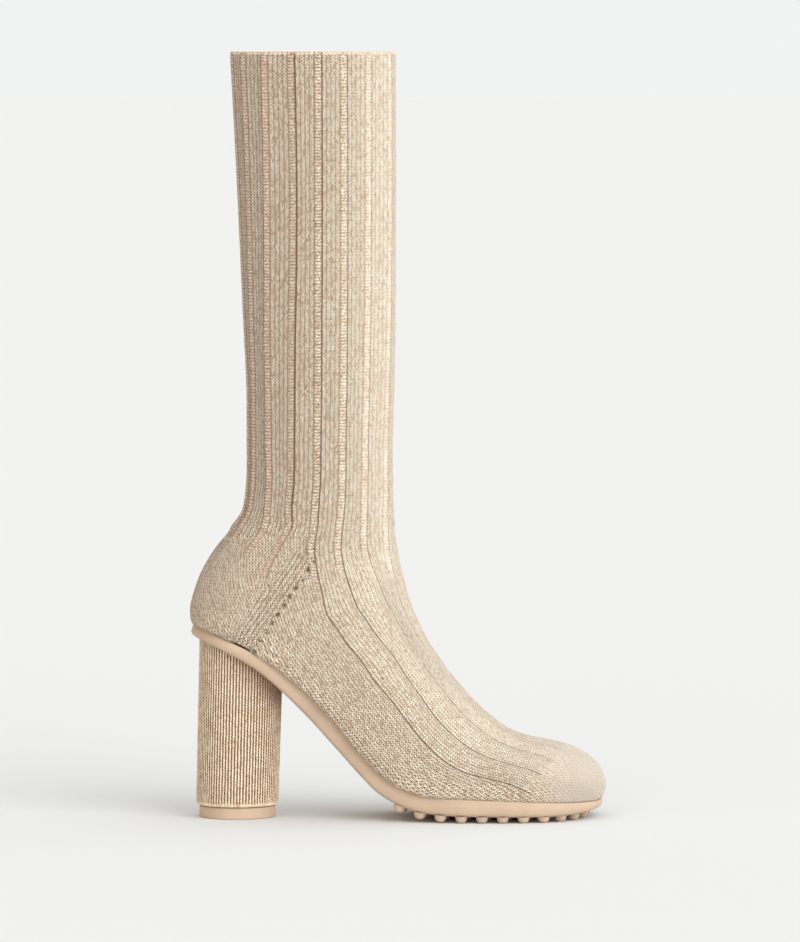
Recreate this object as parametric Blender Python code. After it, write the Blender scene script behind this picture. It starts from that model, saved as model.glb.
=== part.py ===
"""Knitted sock boot on a round block heel, one right shoe, toe toward +X.

The ground is z = 0 and the centre of the heel's top piece is the origin.
The little-toe side is -Y.
"""

import bpy
import numpy as np

# Driving sizes, metres
BOOT_HEIGHT = 0.3895  # ground to collar
ANKLE_HEIGHT = 0.185  # ground to the narrowest part of the shaft
SEAT_HEIGHT = 0.0987  # ground to the top of the sole at the back
REACH = 0.1883  # heel centre to the tip of the toe
SOLE_BACK = 0.0225  # heel centre to the back of the sole
SOLE_FRONT = 0.1865  # heel centre to the front of the sole
BALL_WIDTH = 0.079
SHAFT_WIDTH = 0.072
SOLE_THICKNESS = 0.0076
WALL = 0.0022  # knit of the upper
LASTING_MARGIN = 0.009  # how far the knit turns in under the foot
INSOLE_THICKNESS = 0.002
HEEL_DIAMETER = 0.0421
HEEL_LEAN = 0.0018  # the top of the heel stands this far forward
HEEL_EASE = 0.0012  # how far its lower edge rounds in
LIFT_DIAMETER = 0.0388
LIFT_HEIGHT = 0.006
LIFT_EASE = 0.0006
RIB_DEPTH = 0.0009
RIB_GROOVE = 0.0034  # width of one groove between ribs
BAND_RAISE = 0.0010
BAND_WIDTH = 0.0120
STUD_DIAMETER = 0.0056
STUD_PITCH = 0.0103
GAP = 0.0003
SEAT_GAP = 0.0005  # between the sole and what lies on its curved top
SLOPE_STEP = 0.0005  # over which a slope is measured

# Mesh fineness
RIBS_A_SIDE = 8  # grooves from the front to the back of one side
OUTER_RINGS = (4, 14, 18, 4)  # along the shaft, round the ankle, foot and toe
INNER_RINGS = (3, 7, 18, 3)
INNER_COLUMNS = 12
SOLE_STATIONS = 40
INSOLE_STATIONS = 30
HEEL_SIDES = 40
PROFILE_SAMPLES = 241

# Sole, a row per station: share of its length, height of its top as a share of
# the seat height, its thickness, and its half widths as shares of the ball width
SOLE_COLUMNS = ("at", "top", "thick", "outer", "inner")
SOLE = (
    (0.000, 1.000, 0.71, 0.335, 0.335),
    (0.050, 0.955, 0.68, 0.338, 0.337),
    (0.090, 0.916, 0.67, 0.341, 0.336),
    (0.143, 0.861, 0.72, 0.340, 0.330),
    (0.192, 0.796, 0.80, 0.332, 0.318),
    (0.253, 0.693, 0.93, 0.323, 0.300),
    (0.291, 0.621, 1.00, 0.322, 0.288),
    (0.326, 0.547, 1.03, 0.325, 0.276),
    (0.362, 0.456, 0.98, 0.333, 0.268),
    (0.395, 0.371, 0.91, 0.346, 0.272),
    (0.435, 0.277, 0.90, 0.372, 0.287),
    (0.469, 0.213, 0.97, 0.396, 0.312),
    (0.504, 0.168, 0.98, 0.424, 0.344),
    (0.541, 0.138, 0.99, 0.452, 0.378),
    (0.572, 0.124, 1.00, 0.472, 0.408),
    (0.643, 0.115, 1.03, 0.502, 0.462),
    (0.737, 0.107, 0.97, 0.510, 0.494),
    (0.825, 0.099, 0.89, 0.494, 0.498),
    (0.897, 0.092, 0.79, 0.470, 0.492),
    (0.945, 0.089, 0.66, 0.450, 0.485),
    (1.000, 0.090, 0.48, 0.430, 0.480),
)
SIDES = ((-1, "outer"), (1, "inner"))
HEEL_ROUND = 0.125  # share of the length over which the heel end rounds off
TOE_ROUND = 0.200
TIP_INWARD = 0.040  # the tip lies this far toward the big toe, share of ball width

# Sections of the upper above the sole, from the collar down round the heel.
# Each runs from a back point to a front point: x as shares of the reach,
# heights with 1 at the ankle and 2 at the collar.
LEG_COLUMNS = ("back", "back_high", "front", "front_high", "wide", "rise", "low", "top")
LEG = (
    (-0.016, 2.000, 0.428, 2.000, 1.00, 0.50, 2.1, 2.1),
    (-0.001, 1.739, 0.429, 1.739, 1.00, 0.50, 2.1, 2.1),
    (0.017, 1.384, 0.428, 1.384, 0.98, 0.50, 2.1, 2.1),
    (0.029, 1.133, 0.424, 1.143, 0.94, 0.50, 2.1, 2.1),
    (0.029, 0.973, 0.420, 1.015, 0.91, 0.50, 2.1, 2.1),
    (0.019, 0.857, 0.421, 0.908, 0.89, 0.48, 2.1, 2.1),
    (-0.022, 0.789, 0.424, 0.830, 0.88, 0.46, 2.1, 2.1),
    (-0.066, 0.732, 0.428, 0.773, 0.87, 0.44, 2.1, 2.1),
    (-0.108, 0.651, 0.437, 0.719, 0.86, 0.42, 2.2, 2.1),
    (-0.128, 0.573, 0.451, 0.659, 0.86, 0.41, 2.3, 2.1),
)
# Sections that stand on the sole: the back point lies on it, or above it by a lift
# that is a share of the ankle height; the width is a share of the sole's own
FOOT_COLUMNS = ("back", "lift", "front", "front_high", "wide", "rise", "low", "top")
FOOT = (
    (-0.121, 0.005, 0.468, 0.597, 1.17, 0.40, 3.2, 2.1),
    (-0.085, 0.000, 0.481, 0.562, 1.16, 0.40, 4.6, 2.1),
    (-0.032, 0.000, 0.498, 0.525, 1.15, 0.40, 6.5, 2.1),
    (0.032, 0.000, 0.517, 0.486, 1.15, 0.40, 8.0, 2.1),
    (0.106, 0.000, 0.542, 0.449, 1.15, 0.39, 8.5, 2.1),
    (0.181, 0.000, 0.571, 0.405, 1.14, 0.38, 8.5, 2.0),
    (0.255, 0.000, 0.603, 0.366, 1.12, 0.36, 8.0, 2.0),
    (0.324, 0.000, 0.643, 0.319, 1.09, 0.35, 7.5, 2.0),
    (0.393, 0.000, 0.688, 0.278, 1.06, 0.34, 7.0, 2.0),
    (0.473, 0.000, 0.738, 0.242, 1.04, 0.33, 7.0, 2.0),
    (0.558, 0.000, 0.791, 0.222, 1.02, 0.32, 7.0, 2.0),
    (0.643, 0.000, 0.844, 0.211, 1.01, 0.32, 7.0, 2.0),
    (0.728, 0.000, 0.895, 0.198, 1.00, 0.32, 7.0, 2.0),
    (0.807, 0.000, 0.935, 0.180, 1.00, 0.33, 7.0, 2.1),
    (0.871, 0.000, 0.961, 0.160, 1.00, 0.35, 6.5, 2.2),
    (0.919, 0.000, 0.980, 0.141, 1.00, 0.38, 5.5, 2.2),
    (0.956, 0.000, 0.993, 0.118, 1.00, 0.41, 4.6, 2.2),
    (0.986, 0.011, 0.998, 0.101, 1.00, 0.44, 3.4, 2.2),
    (1.000, 0.038, 1.000, 0.085, 1.00, 0.46, 2.6, 2.2),
)
TOE_OVERHANG = 0.0018  # the toe stands this far over the sole
SIDE_FULLNESS = 0.35  # how strongly the width column swells the sides
OUTLINE_TAKES_OVER = (6.0, 12.0)  # rows over which the sole's outline sets the width
LAST_LEG = len(LEG) - 1
LAST_ROW = LAST_LEG + len(FOOT)

# Grooves between the ribs: at each section row, how far down the side each lies as
# a share of the half section, from its front to its back; the front seam groove is 0
GROOVE_COLUMNS = ("row", "1st", "2nd", "3rd", "4th", "5th", "6th", "7th", "8th")
GROOVES = (
    (0, 0.108, 0.240, 0.354, 0.460, 0.572, 0.720, 0.836, 0.945),
    (1, 0.110, 0.250, 0.363, 0.471, 0.577, 0.730, 0.840, 0.945),
    (3, 0.125, 0.266, 0.379, 0.493, 0.614, 0.770, 0.875, 0.955),
    (5, 0.120, 0.257, 0.370, 0.490, 0.615, 0.757, 0.876, 0.955),
    (7, 0.108, 0.224, 0.338, 0.447, 0.589, 0.737, 0.860, 0.950),
    (9, 0.094, 0.170, 0.287, 0.392, 0.570, 0.730, 0.850, 0.950),
    (11, 0.090, 0.147, 0.262, 0.384, 0.560, 0.730, 0.850, 0.950),
    (13, 0.092, 0.156, 0.269, 0.407, 0.570, 0.730, 0.850, 0.950),
    (15, 0.096, 0.186, 0.303, 0.443, 0.590, 0.730, 0.850, 0.950),
    (17, 0.090, 0.208, 0.337, 0.455, 0.600, 0.730, 0.850, 0.950),
    (19, 0.095, 0.222, 0.347, 0.471, 0.610, 0.740, 0.850, 0.950),
    (21, 0.138, 0.273, 0.391, 0.504, 0.620, 0.740, 0.850, 0.950),
    (23, 0.160, 0.320, 0.450, 0.560, 0.650, 0.750, 0.850, 0.950),
    (28, 0.150, 0.300, 0.420, 0.530, 0.640, 0.750, 0.850, 0.950),
)
MOVABLE_FROM = 4  # the grooves after the 4th make room for the opening underneath
# The section row at which each groove fades out, the front one first
GROOVE_ENDS = (21.4, 21.6, 21.8, 22.2, 22.6, 8.2, 7.2, 6.5, 6.2)

# Gusset band, from the sole up to its head, as shares of the reach and the ankle
BAND_FOOT = (0.016, 0.488)
BAND_HEAD = (0.186, 0.742)

STUDS_FROM = 0.0832  # first row of studs, on the rise behind the tread
STUD_EDGE = 0.0046  # from the sole's edge to the centres of the outer studs
STUDS_SHORT = 0.0045  # the studs under the toe stay this much further back
STUDS_TURN = 0.030  # length over which they draw back
STUD_HEIGHT = 0.0035
STUD_SIDES = 7
# Stud in section, from inside the sole to its flat tip: share of the radius, of the height
STUD_PROFILE = ((1.0, -0.2), (0.97, 0.30), (0.5, 1.0))

KNIT_COLOUR = (0.74, 0.63, 0.49, 1.0)
RUBBER_COLOUR = (0.66, 0.47, 0.30, 1.0)
BOARD_COLOUR = (0.62, 0.50, 0.38, 1.0)


# Shared helpers


def between(knots, values, t):
    """Values at t on a smooth curve through the rows of a table, without overshoot."""
    knots = np.asarray(knots, float)
    values = np.asarray(values, float)
    if values.ndim == 1:
        values = values[:, None]
        return between(knots, values, t)[..., 0]
    t = np.clip(np.asarray(t, float), knots[0], knots[-1])
    step = np.diff(knots)[:, None]
    slope = np.diff(values, axis=0) / step
    before, after = slope[:-1], slope[1:]
    h0, h1 = step[:-1], step[1:]
    same = before * after > 0
    w0, w1 = 2 * h1 + h0, h1 + 2 * h0
    safe0 = np.where(same, before, 1.0)
    safe1 = np.where(same, after, 1.0)
    inside = np.where(same, (w0 + w1) / (w0 / safe0 + w1 / safe1), 0.0)
    lean = np.vstack([slope[:1], inside, slope[-1:]])
    i = np.clip(np.searchsorted(knots, t, side="right") - 1, 0, len(knots) - 2)
    h = step[i]
    u = ((t - knots[i])[..., None]) / h
    a, b = values[i], values[i + 1]
    return (
        a * (1 + 2 * u) * (1 - u) ** 2
        + lean[i] * h * u * (1 - u) ** 2
        + b * u**2 * (3 - 2 * u)
        + lean[i + 1] * h * u**2 * (u - 1)
    )


def columns(table, names, wanted):
    """One or more named columns of a table."""
    return np.array([[row[names.index(name)] for name in wanted] for row in table])


SOLE_AT, SOLE_TOP, SOLE_THICK = columns(SOLE, SOLE_COLUMNS, ("at", "top", "thick")).T
SOLE_HALF = {side: columns(SOLE, SOLE_COLUMNS, (name,))[:, 0] for side, name in SIDES}


def smoothstep(x, low, high):
    """0 below low, 1 above high, smooth between them."""
    u = np.clip((x - low) / (high - low), 0.0, 1.0)
    return u * u * (3 - 2 * u)


def height(share):
    """Height of a share: 0 at the ground, 1 at the ankle, 2 at the collar."""
    above = np.maximum(share - 1, 0) * (BOOT_HEIGHT - ANKLE_HEIGHT)
    return np.minimum(share, 1) * ANKLE_HEIGHT + above


def joined(name, points, faces, colour, roughness):
    """One object with its own plain material."""
    mesh = bpy.data.meshes.new(name)
    mesh.from_pydata([tuple(map(float, p)) for p in points], [], faces)
    mesh.update()
    obj = bpy.data.objects.new(name, mesh)
    boot.objects.link(obj)
    material = bpy.data.materials.new(name)
    material.use_nodes = True
    surface = material.node_tree.nodes["Principled BSDF"]
    surface.inputs["Base Color"].default_value = colour
    surface.inputs["Roughness"].default_value = roughness
    surface.inputs["Metallic"].default_value = 0.0
    mesh.materials.append(material)
    mesh.shade_smooth()
    mesh.set_sharp_from_angle(angle=np.radians(50))
    return obj


# The sole's own lines


def sole_share(x):
    """Share of the sole's length at x."""
    return (x + SOLE_BACK) / (SOLE_BACK + SOLE_FRONT)


def end_round(share):
    """1 along the sole, falling to 0 at its two round ends."""
    heel = np.clip(1 - share / HEEL_ROUND, 0, 1)
    toe = np.clip((share - 1 + TOE_ROUND) / TOE_ROUND, 0, 1)
    return (1 - heel**2.1) ** (1 / 2.1) * (1 - toe**2.3) ** (1 / 2.3)


def outline(share, side, inset=0.0):
    """x and y of the sole's outline, drawn in by an inset; side -1 is the outer one."""
    half = between(SOLE_AT, SOLE_HALF[side] * BALL_WIDTH, share)
    full = end_round(share)
    x = -SOLE_BACK + inset + (SOLE_BACK + SOLE_FRONT - 2 * inset) * share
    tip = TIP_INWARD * BALL_WIDTH * smoothstep(share, 1 - TOE_ROUND, 1)
    return x, tip + (side * (half - inset) - tip) * full


def outline_at(x, side, inset=0.0):
    """y of the inset outline at x."""
    length = SOLE_BACK + SOLE_FRONT - 2 * inset
    share = np.clip((x + SOLE_BACK - inset) / length, 0, 1)
    return outline(share, side, inset)[1]


def sole_top(x):
    """Height of the top of the sole at x."""
    return between(SOLE_AT, SOLE_TOP * SEAT_HEIGHT, sole_share(x))


def sole_slope(x):
    """Slope of the sole's top at x."""
    slope = (sole_top(x + SLOPE_STEP) - sole_top(x - SLOPE_STEP)) / (2 * SLOPE_STEP)
    return np.where(sole_share(x) > 0.99, slope * 0, slope)


def seated(x):
    """Height at x of a surface that lies on the sole with a small gap."""
    return sole_top(x) + SEAT_GAP * np.sqrt(1 + sole_slope(x) ** 2)


def sole_thickness(x):
    """Thickness of the sole at x, square to its top."""
    return between(SOLE_AT, SOLE_THICK * SOLE_THICKNESS, sole_share(x))


def under_sole(x, down):
    """The point a share of the thickness below the sole's top at x, and its height."""
    slope = sole_slope(x)
    deep = sole_thickness(x) * down
    across = np.sqrt(1 + slope**2)
    return x + deep * slope / across, sole_top(x) - deep / across


def sole_bottom(x):
    """Height of the underside of the sole at x."""
    tops = np.linspace(-SOLE_BACK, SOLE_FRONT, 400)
    under_x, under_z = under_sole(tops, 1.0)
    order = np.argsort(under_x)
    return np.interp(x, under_x[order], under_z[order])


# The upper


def section_ends(t):
    """x and height of the back and the front point of the sections at rows t."""
    leg = columns(LEG, LEG_COLUMNS, LEG_COLUMNS[:4])
    foot = columns(FOOT, FOOT_COLUMNS, FOOT_COLUMNS[:4])
    back_x = np.concatenate([leg[:, 0], foot[:, 0]]) * REACH
    resting = seated(foot[:, 0] * REACH) + foot[:, 1] * ANKLE_HEIGHT
    back_z = np.concatenate([height(leg[:, 1]), resting])
    front_x = np.concatenate([leg[:, 2], foot[:, 2]]) * REACH
    front_z = height(np.concatenate([leg[:, 3], foot[:, 3]]))
    rows = np.arange(LAST_ROW + 1)
    found = between(rows, np.column_stack([back_x, back_z, front_x, front_z]), t)
    standing = (t > LAST_LEG + 2) & (t < LAST_ROW - 2)
    found[:, 1] = np.where(standing, seated(found[:, 0]), found[:, 1])
    return found


def drawn_in(t, inset):
    """The ends of the sections at rows t, moved square into the boot by an inset."""
    step = 0.02
    here = section_ends(t)
    run = section_ends(np.minimum(t + step, LAST_ROW))
    run -= section_ends(np.maximum(t - step, 0))
    back = np.maximum(np.hypot(run[:, 0], run[:, 1]), 1e-9)
    front = np.maximum(np.hypot(run[:, 2], run[:, 3]), 1e-9)
    here[:, 0] -= inset * run[:, 1] / back
    here[:, 1] += inset * run[:, 0] / back
    here[:, 2] += inset * run[:, 3] / front
    here[:, 3] -= inset * run[:, 2] / front
    return here


def sections(t, inset):
    """The sections at rows t: ends, half widths of both sides, ridge and three shapes."""
    t = np.atleast_1d(np.asarray(t, float))
    here = drawn_in(t, inset) if inset else section_ends(t)
    leg = columns(LEG, LEG_COLUMNS, LEG_COLUMNS[4:])
    foot = columns(FOOT, FOOT_COLUMNS, FOOT_COLUMNS[4:])
    rows = np.arange(LAST_ROW + 1)
    leg_wide = between(rows[: LAST_LEG + 1], leg[:, 0], t)
    foot_wide = between(rows[LAST_LEG + 1 :], foot[:, 0], t)
    rise, low, top = between(rows, np.vstack([leg, foot])[:, 1:], t).T
    x_wide = here[:, 0] + (here[:, 2] - here[:, 0]) * rise
    over = TOE_OVERHANG * smoothstep(x_wide / REACH, 0.6, 0.9) - inset
    over += (foot_wide - 1) * SIDE_FULLNESS * BALL_WIDTH
    on_outline = smoothstep(t, *OUTLINE_TAKES_OVER)
    ridge = TIP_INWARD * BALL_WIDTH * smoothstep(t, LAST_LEG + 3, LAST_ROW - 3)
    halves = []
    for side, _ in SIDES:
        from_leg = leg_wide * SHAFT_WIDTH / 2 - inset
        from_outline = side * (outline_at(x_wide, side, -over) - ridge)
        halves.append(from_leg * (1 - on_outline) + from_outline * on_outline)
    return here, halves, ridge, rise, low, top


def half_section(t, side, inset=0.0):
    """Points down one side of a section, from its front point to its back point."""
    here, halves, ridge, rise, low, top = sections(t, inset)
    here, ridge, rise, low, top = here[0], ridge[0], rise[0], low[0], top[0]
    half = halves[0][0] if side < 0 else halves[1][0]
    turn = np.linspace(0, np.pi, PROFILE_SAMPLES)
    upper_part = turn <= np.pi / 2
    cosine, sine = np.abs(np.cos(turn)), np.sin(turn)
    power = np.where(upper_part, 2 / top, 2 / low)
    reach_out = np.maximum(sine, 0) ** power
    along = np.where(
        upper_part, rise + (1 - rise) * cosine**power, rise - rise * cosine**power
    )
    x = here[0] + (here[2] - here[0]) * along
    z = here[1] + (here[3] - here[1]) * along
    y = ridge + side * half * reach_out
    return np.column_stack([x, y, z])


def opened(t, side, inset):
    """One side of a section, stopped at the turned-in edge where it is open below."""
    points = half_section(t, side, inset)
    share = (section_ends(np.array([t]))[0, 0] + SOLE_BACK - LASTING_MARGIN) / (
        SOLE_BACK + SOLE_FRONT - 2 * LASTING_MARGIN
    )
    if t <= LAST_LEG or not 0 < share < 1:
        return points
    stop = outline(share, side, LASTING_MARGIN)[1] * side
    lower = len(points) // 2
    back_up = points[lower:][::-1]
    at = np.interp(stop, back_up[:, 1] * side, np.arange(len(back_up)))
    last = [np.interp(at, np.arange(len(back_up)), back_up[:, k]) for k in range(3)]
    kept = len(points) - 1 - int(np.ceil(at))
    return np.vstack([points[: kept + 1], last])


def at_shares(points, shares):
    """Points at shares of a line's length, and the line's whole length."""
    step = np.linalg.norm(np.diff(points, axis=0), axis=1)
    walked = np.concatenate([[0], np.cumsum(step)])
    wanted = np.asarray(shares) * walked[-1]
    found = np.column_stack([np.interp(wanted, walked, points[:, k]) for k in range(3)])
    return found, walked[-1]


def groove_places(t, end):
    """Shares of the half section at which the grooves lie at row t."""
    rows = columns(GROOVES, GROOVE_COLUMNS, ["row"])[:, 0]
    names = GROOVE_COLUMNS[1:]
    places = between(rows, columns(GROOVES, GROOVE_COLUMNS, names), np.array([t]))[0]
    fixed = places[MOVABLE_FROM - 1]
    lower = fixed + (places[MOVABLE_FROM:] - fixed) * (end - fixed) / (1 - fixed)
    return np.concatenate([[0.0], places[:MOVABLE_FROM], lower])


def ribbed_columns(t, length, end):
    """Shares down one side for the mesh columns, and how deep each is cut."""
    places = groove_places(t, end)
    stops = np.append(places[1:], end)
    shares, depths = [], []
    for k, (place, stop) in enumerate(zip(places, stops)):
        fade = 1 - smoothstep(t, GROOVE_ENDS[k] - 1.2, GROOVE_ENDS[k])
        edge = min(RIB_GROOVE / 2 / length, 0.3 * (stop - place))
        shares += [place, place + edge, (place + stop) / 2]
        depths += [fade, 0.0, 0.0]
        if k < RIBS_A_SIDE:
            shares.append(stop - edge)
            depths.append(0.0)
    shares.append(end)
    depths.append(0.0)
    return np.array(shares) / end, np.array(depths)


def band_raise(points):
    """How far the gusset band lifts each point of the knit."""
    foot = np.array([BAND_FOOT[0] * REACH, BAND_FOOT[1] * ANKLE_HEIGHT])
    head = np.array([BAND_HEAD[0] * REACH, BAND_HEAD[1] * ANKLE_HEIGHT])
    way = (head - foot) / np.linalg.norm(head - foot)
    place = points[:, [0, 2]] - foot
    along = place @ way
    aside = np.abs(place @ np.array([-way[1], way[0]]))
    inside = 1 - smoothstep(aside, BAND_WIDTH * 0.36, BAND_WIDTH * 0.60)
    length = np.linalg.norm(head - foot)
    ended = 1 - smoothstep(along, length - BAND_WIDTH * 0.3, length + BAND_WIDTH * 0.2)
    return BAND_RAISE * inside * ended


def outward(points, side):
    """Directions out of the boot, square to a half section and in its own plane."""
    way = np.gradient(points, axis=0)
    way /= np.maximum(np.linalg.norm(way, axis=1), 1e-12)[:, None]
    back_to_front = points[0] - points[-1]
    back_to_front[1] = 0
    plane = np.cross(back_to_front, [0.0, 1.0, 0.0])
    normal = np.cross(way, plane / np.linalg.norm(plane))
    return normal * side * np.sign(normal[len(normal) // 2, 1])


def cut_side(t, side):
    """Mesh points down one side of the outer face, ribs and band included."""
    whole = at_shares(half_section(t, side), [0.0])[1]
    line = opened(t, side, 0.0)
    end = at_shares(line, [0.0])[1] / whole
    shares, depths = ribbed_columns(t, whole, end)
    points = at_shares(line, shares)[0]
    fine = at_shares(line, np.linspace(0, 1, 400))[0]
    normals = outward(fine, side)
    at = np.clip((shares * 399).round().astype(int), 1, 398)
    move = band_raise(points) - RIB_DEPTH * depths
    moved = points + normals[at] * move[:, None]
    moved[0, 1] = points[0, 1]
    return moved


def plain_side(t, side):
    """Mesh points down one side of the inner face."""
    return at_shares(opened(t, side, WALL), np.linspace(0, 1, INNER_COLUMNS + 1))[0]


def row_for_back(x_back):
    """The section row whose back point stands at x on the sole."""
    rows = np.linspace(LAST_LEG + 1, LAST_ROW, 900)
    found = section_ends(rows)[:, 0]
    return float(np.interp(x_back, found, rows))


def shell_rows(counts):
    """The rows of the mesh: closed ones, ones that are open below, closed toe ones."""
    shaft, ankle, foot, toe = counts
    length = SOLE_BACK + SOLE_FRONT - 2 * LASTING_MARGIN
    backs = -SOLE_BACK + LASTING_MARGIN + length * end_shares(foot)
    open_rows = [row_for_back(x) for x in backs]
    leg = np.linspace(0, 4.0, shaft + 1)[:-1]
    bend = np.linspace(4.0, open_rows[0], ankle + 1)[:-1]
    closing = np.linspace(open_rows[-1], LAST_ROW, toe + 1)[1:-1]
    return np.concatenate([leg, bend]), open_rows, closing


def face_of(side_points, rows, pole):
    """Vertices and faces of one face of the shell, with its collar and opening loops."""
    closed, open_rows, toe = rows
    points, faces, rings = [], [], []

    def add_ring(t, is_open):
        outer, inner = side_points(t, -1), side_points(t, 1)
        count = len(outer)
        ring = list(outer[::-1]) + list(inner[1:] if is_open else inner[1:-1])
        first = len(points)
        points.extend(ring)
        ids = list(range(first, first + len(ring)))
        if not is_open:
            ids.append(first)
        rings.append((ids, count))

    for t in closed:
        add_ring(t, False)
    for k, t in enumerate(open_rows):
        add_ring(t, 0 < k < len(open_rows) - 1)
    for t in toe:
        add_ring(t, False)
    for (a, _), (b, _) in zip(rings, rings[1:]):
        for j in range(len(a) - 1):
            quad = [a[j], a[j + 1], b[j + 1], b[j]]
            corners = list(dict.fromkeys(quad))
            if len(corners) > 2:
                faces.append(corners)
    tip = len(points)
    points.append(pole)
    last = rings[-1][0]
    for j in range(len(last) - 1):
        faces.append([last[j], last[j + 1], tip])
    collar = rings[0][0][:-1]
    start = len(closed)
    opens = [rings[start + k][0] for k in range(len(open_rows))]
    lower = [ids[0] for ids in opens]
    upper = [ids[-1] for ids in opens[1:-1]]
    return points, faces, collar, lower + upper[::-1]


def zip_loops(a, b, points, faces, flip):
    """Triangles between two closed loops that run the same way from the same place."""
    pa, pb = np.array([points[i] for i in a]), np.array([points[i] for i in b])

    def walked(p):
        step = np.linalg.norm(np.roll(p, -1, axis=0) - p, axis=1)
        return np.concatenate([[0], np.cumsum(step)]) / step.sum()

    la, lb = walked(pa), walked(pb)
    i = j = 0
    while i < len(a) or j < len(b):
        take_a = j >= len(b) or (i < len(a) and la[i + 1] <= lb[j + 1])
        if take_a:
            face = [a[i % len(a)], a[(i + 1) % len(a)], b[j % len(b)]]
            i += 1
        else:
            face = [a[i % len(a)], b[(j + 1) % len(b)], b[j % len(b)]]
            j += 1
        faces.append(face[::-1] if flip else face)


def build_upper():
    """The knitted sock: one hollow wall, open at the collar and under the foot."""
    tip = sections(float(LAST_ROW), 0.0)
    tip_point = np.array([tip[0][0][0], tip[2][0], tip[0][0][1]])
    points, faces, collar, opening = face_of(
        cut_side, shell_rows(OUTER_RINGS), tip_point
    )
    inner_tip = tip_point - np.array([WALL, 0.0, 0.0])
    inner_points, inner_faces, inner_collar, inner_opening = face_of(
        plain_side, shell_rows(INNER_RINGS), inner_tip
    )
    shift = len(points)
    points = points + inner_points
    faces = [face[::-1] for face in faces]
    faces += [[i + shift for i in face] for face in inner_faces]
    inner_collar = [i + shift for i in inner_collar]
    inner_opening = [i + shift for i in inner_opening]
    zip_loops(collar, inner_collar, points, faces, False)
    zip_loops(opening, inner_opening, points, faces, True)
    return joined("upper", points, faces, KNIT_COLOUR, 0.9)


# The rubber sole, its studs, the board inside and the heel

# Edge of the sole in section, from its top to its underside: share of the thickness
# and how far the edge is drawn in, as a share of the full thickness of the sole
SOLE_EDGE_COLUMNS = ("down", "inset")
SOLE_EDGE = ((0.0, 0.04), (0.30, 0.0), (0.72, 0.06), (0.92, 0.18), (1.0, 0.38))


def loft_faces(rings):
    """Faces between rings of vertex numbers, each ring closed."""
    faces = []
    for a, b in zip(rings, rings[1:]):
        for j in range(len(a)):
            k = (j + 1) % len(a)
            corners = list(dict.fromkeys([a[j], a[k], b[k], b[j]]))
            if len(corners) > 2:
                faces.append(corners)
    return faces


def end_shares(count, crowding=1.0):
    """Shares along the sole that crowd into its round ends."""
    turn = np.linspace(0, np.pi, count + 1)
    even = np.linspace(0, 1, count + 1)
    return (1 - np.cos(turn)) / 2 * crowding + even * (1 - crowding)


def slab(name, levels, shares, colour, roughness):
    """A body in the sole's outline: levels hold an inset and a function for the height."""
    points, rings = [], []
    for k, share in enumerate(shares):
        end = k in (0, len(shares) - 1)
        left, right = [], []
        for inset, place in levels:
            x, y = outline(share, -1, inset)
            px, pz = place(float(x))
            left.append(len(points))
            points.append((px, float(y), float(pz)))
        for i, (inset, place) in enumerate(levels):
            if end:
                right.append(left[i])
                continue
            x, y = outline(share, 1, inset)
            px, pz = place(float(x))
            right.append(len(points))
            points.append((px, float(y), float(pz)))
        rings.append(left + right[::-1])
    return joined(name, points, loft_faces(rings), colour, roughness)


def sole_level(down):
    """A function for the point a share of the thickness under the sole's top."""
    return lambda x: tuple(float(v) for v in under_sole(x, down))


def on_sole(lift):
    """A function for the point square above the sole by its gap and a lift."""

    def place(x):
        slope = float(sole_slope(x))
        square = lift / np.sqrt(1 + slope**2)
        return x - square * slope, float(seated(x)) + square

    return place


def stud_places():
    """Centres of the studs: one line along the edge, offset rows inside it."""
    start = float(sole_share(STUDS_FROM))
    shares = np.linspace(start, 1, 200)
    edge = [np.column_stack(outline(shares, side, STUD_EDGE)) for side in (-1, 1)]
    line = np.vstack([edge[0], edge[1][-2::-1]])
    front = SOLE_FRONT - STUD_EDGE
    line[:, 0] -= STUDS_SHORT * smoothstep(line[:, 0], front - STUDS_TURN, front)
    flat = np.column_stack([line, np.zeros(len(line))])
    count = int(round(at_shares(flat, [0.0])[1] / STUD_PITCH))
    places = [tuple(p[:2]) for p in at_shares(flat, np.linspace(0, 1, count + 1))[0]]
    inner = STUD_EDGE + STUD_PITCH * 0.72
    reach = SOLE_FRONT - STUDS_SHORT - inner - STUD_PITCH * 0.25 - STUDS_FROM
    rows = int(reach / STUD_PITCH * 1.1)
    for row in range(rows + 1):
        x = STUDS_FROM + STUD_PITCH * 0.15 + row * reach / rows
        low = float(outline_at(x, -1, inner))
        high = float(outline_at(x, 1, inner))
        across = max(int((high - low) / STUD_PITCH + 0.35), 0)
        for k in range(across + 1):
            places.append((x, low + (high - low) * (k + 0.5) / (across + 1)))
    return places


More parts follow.
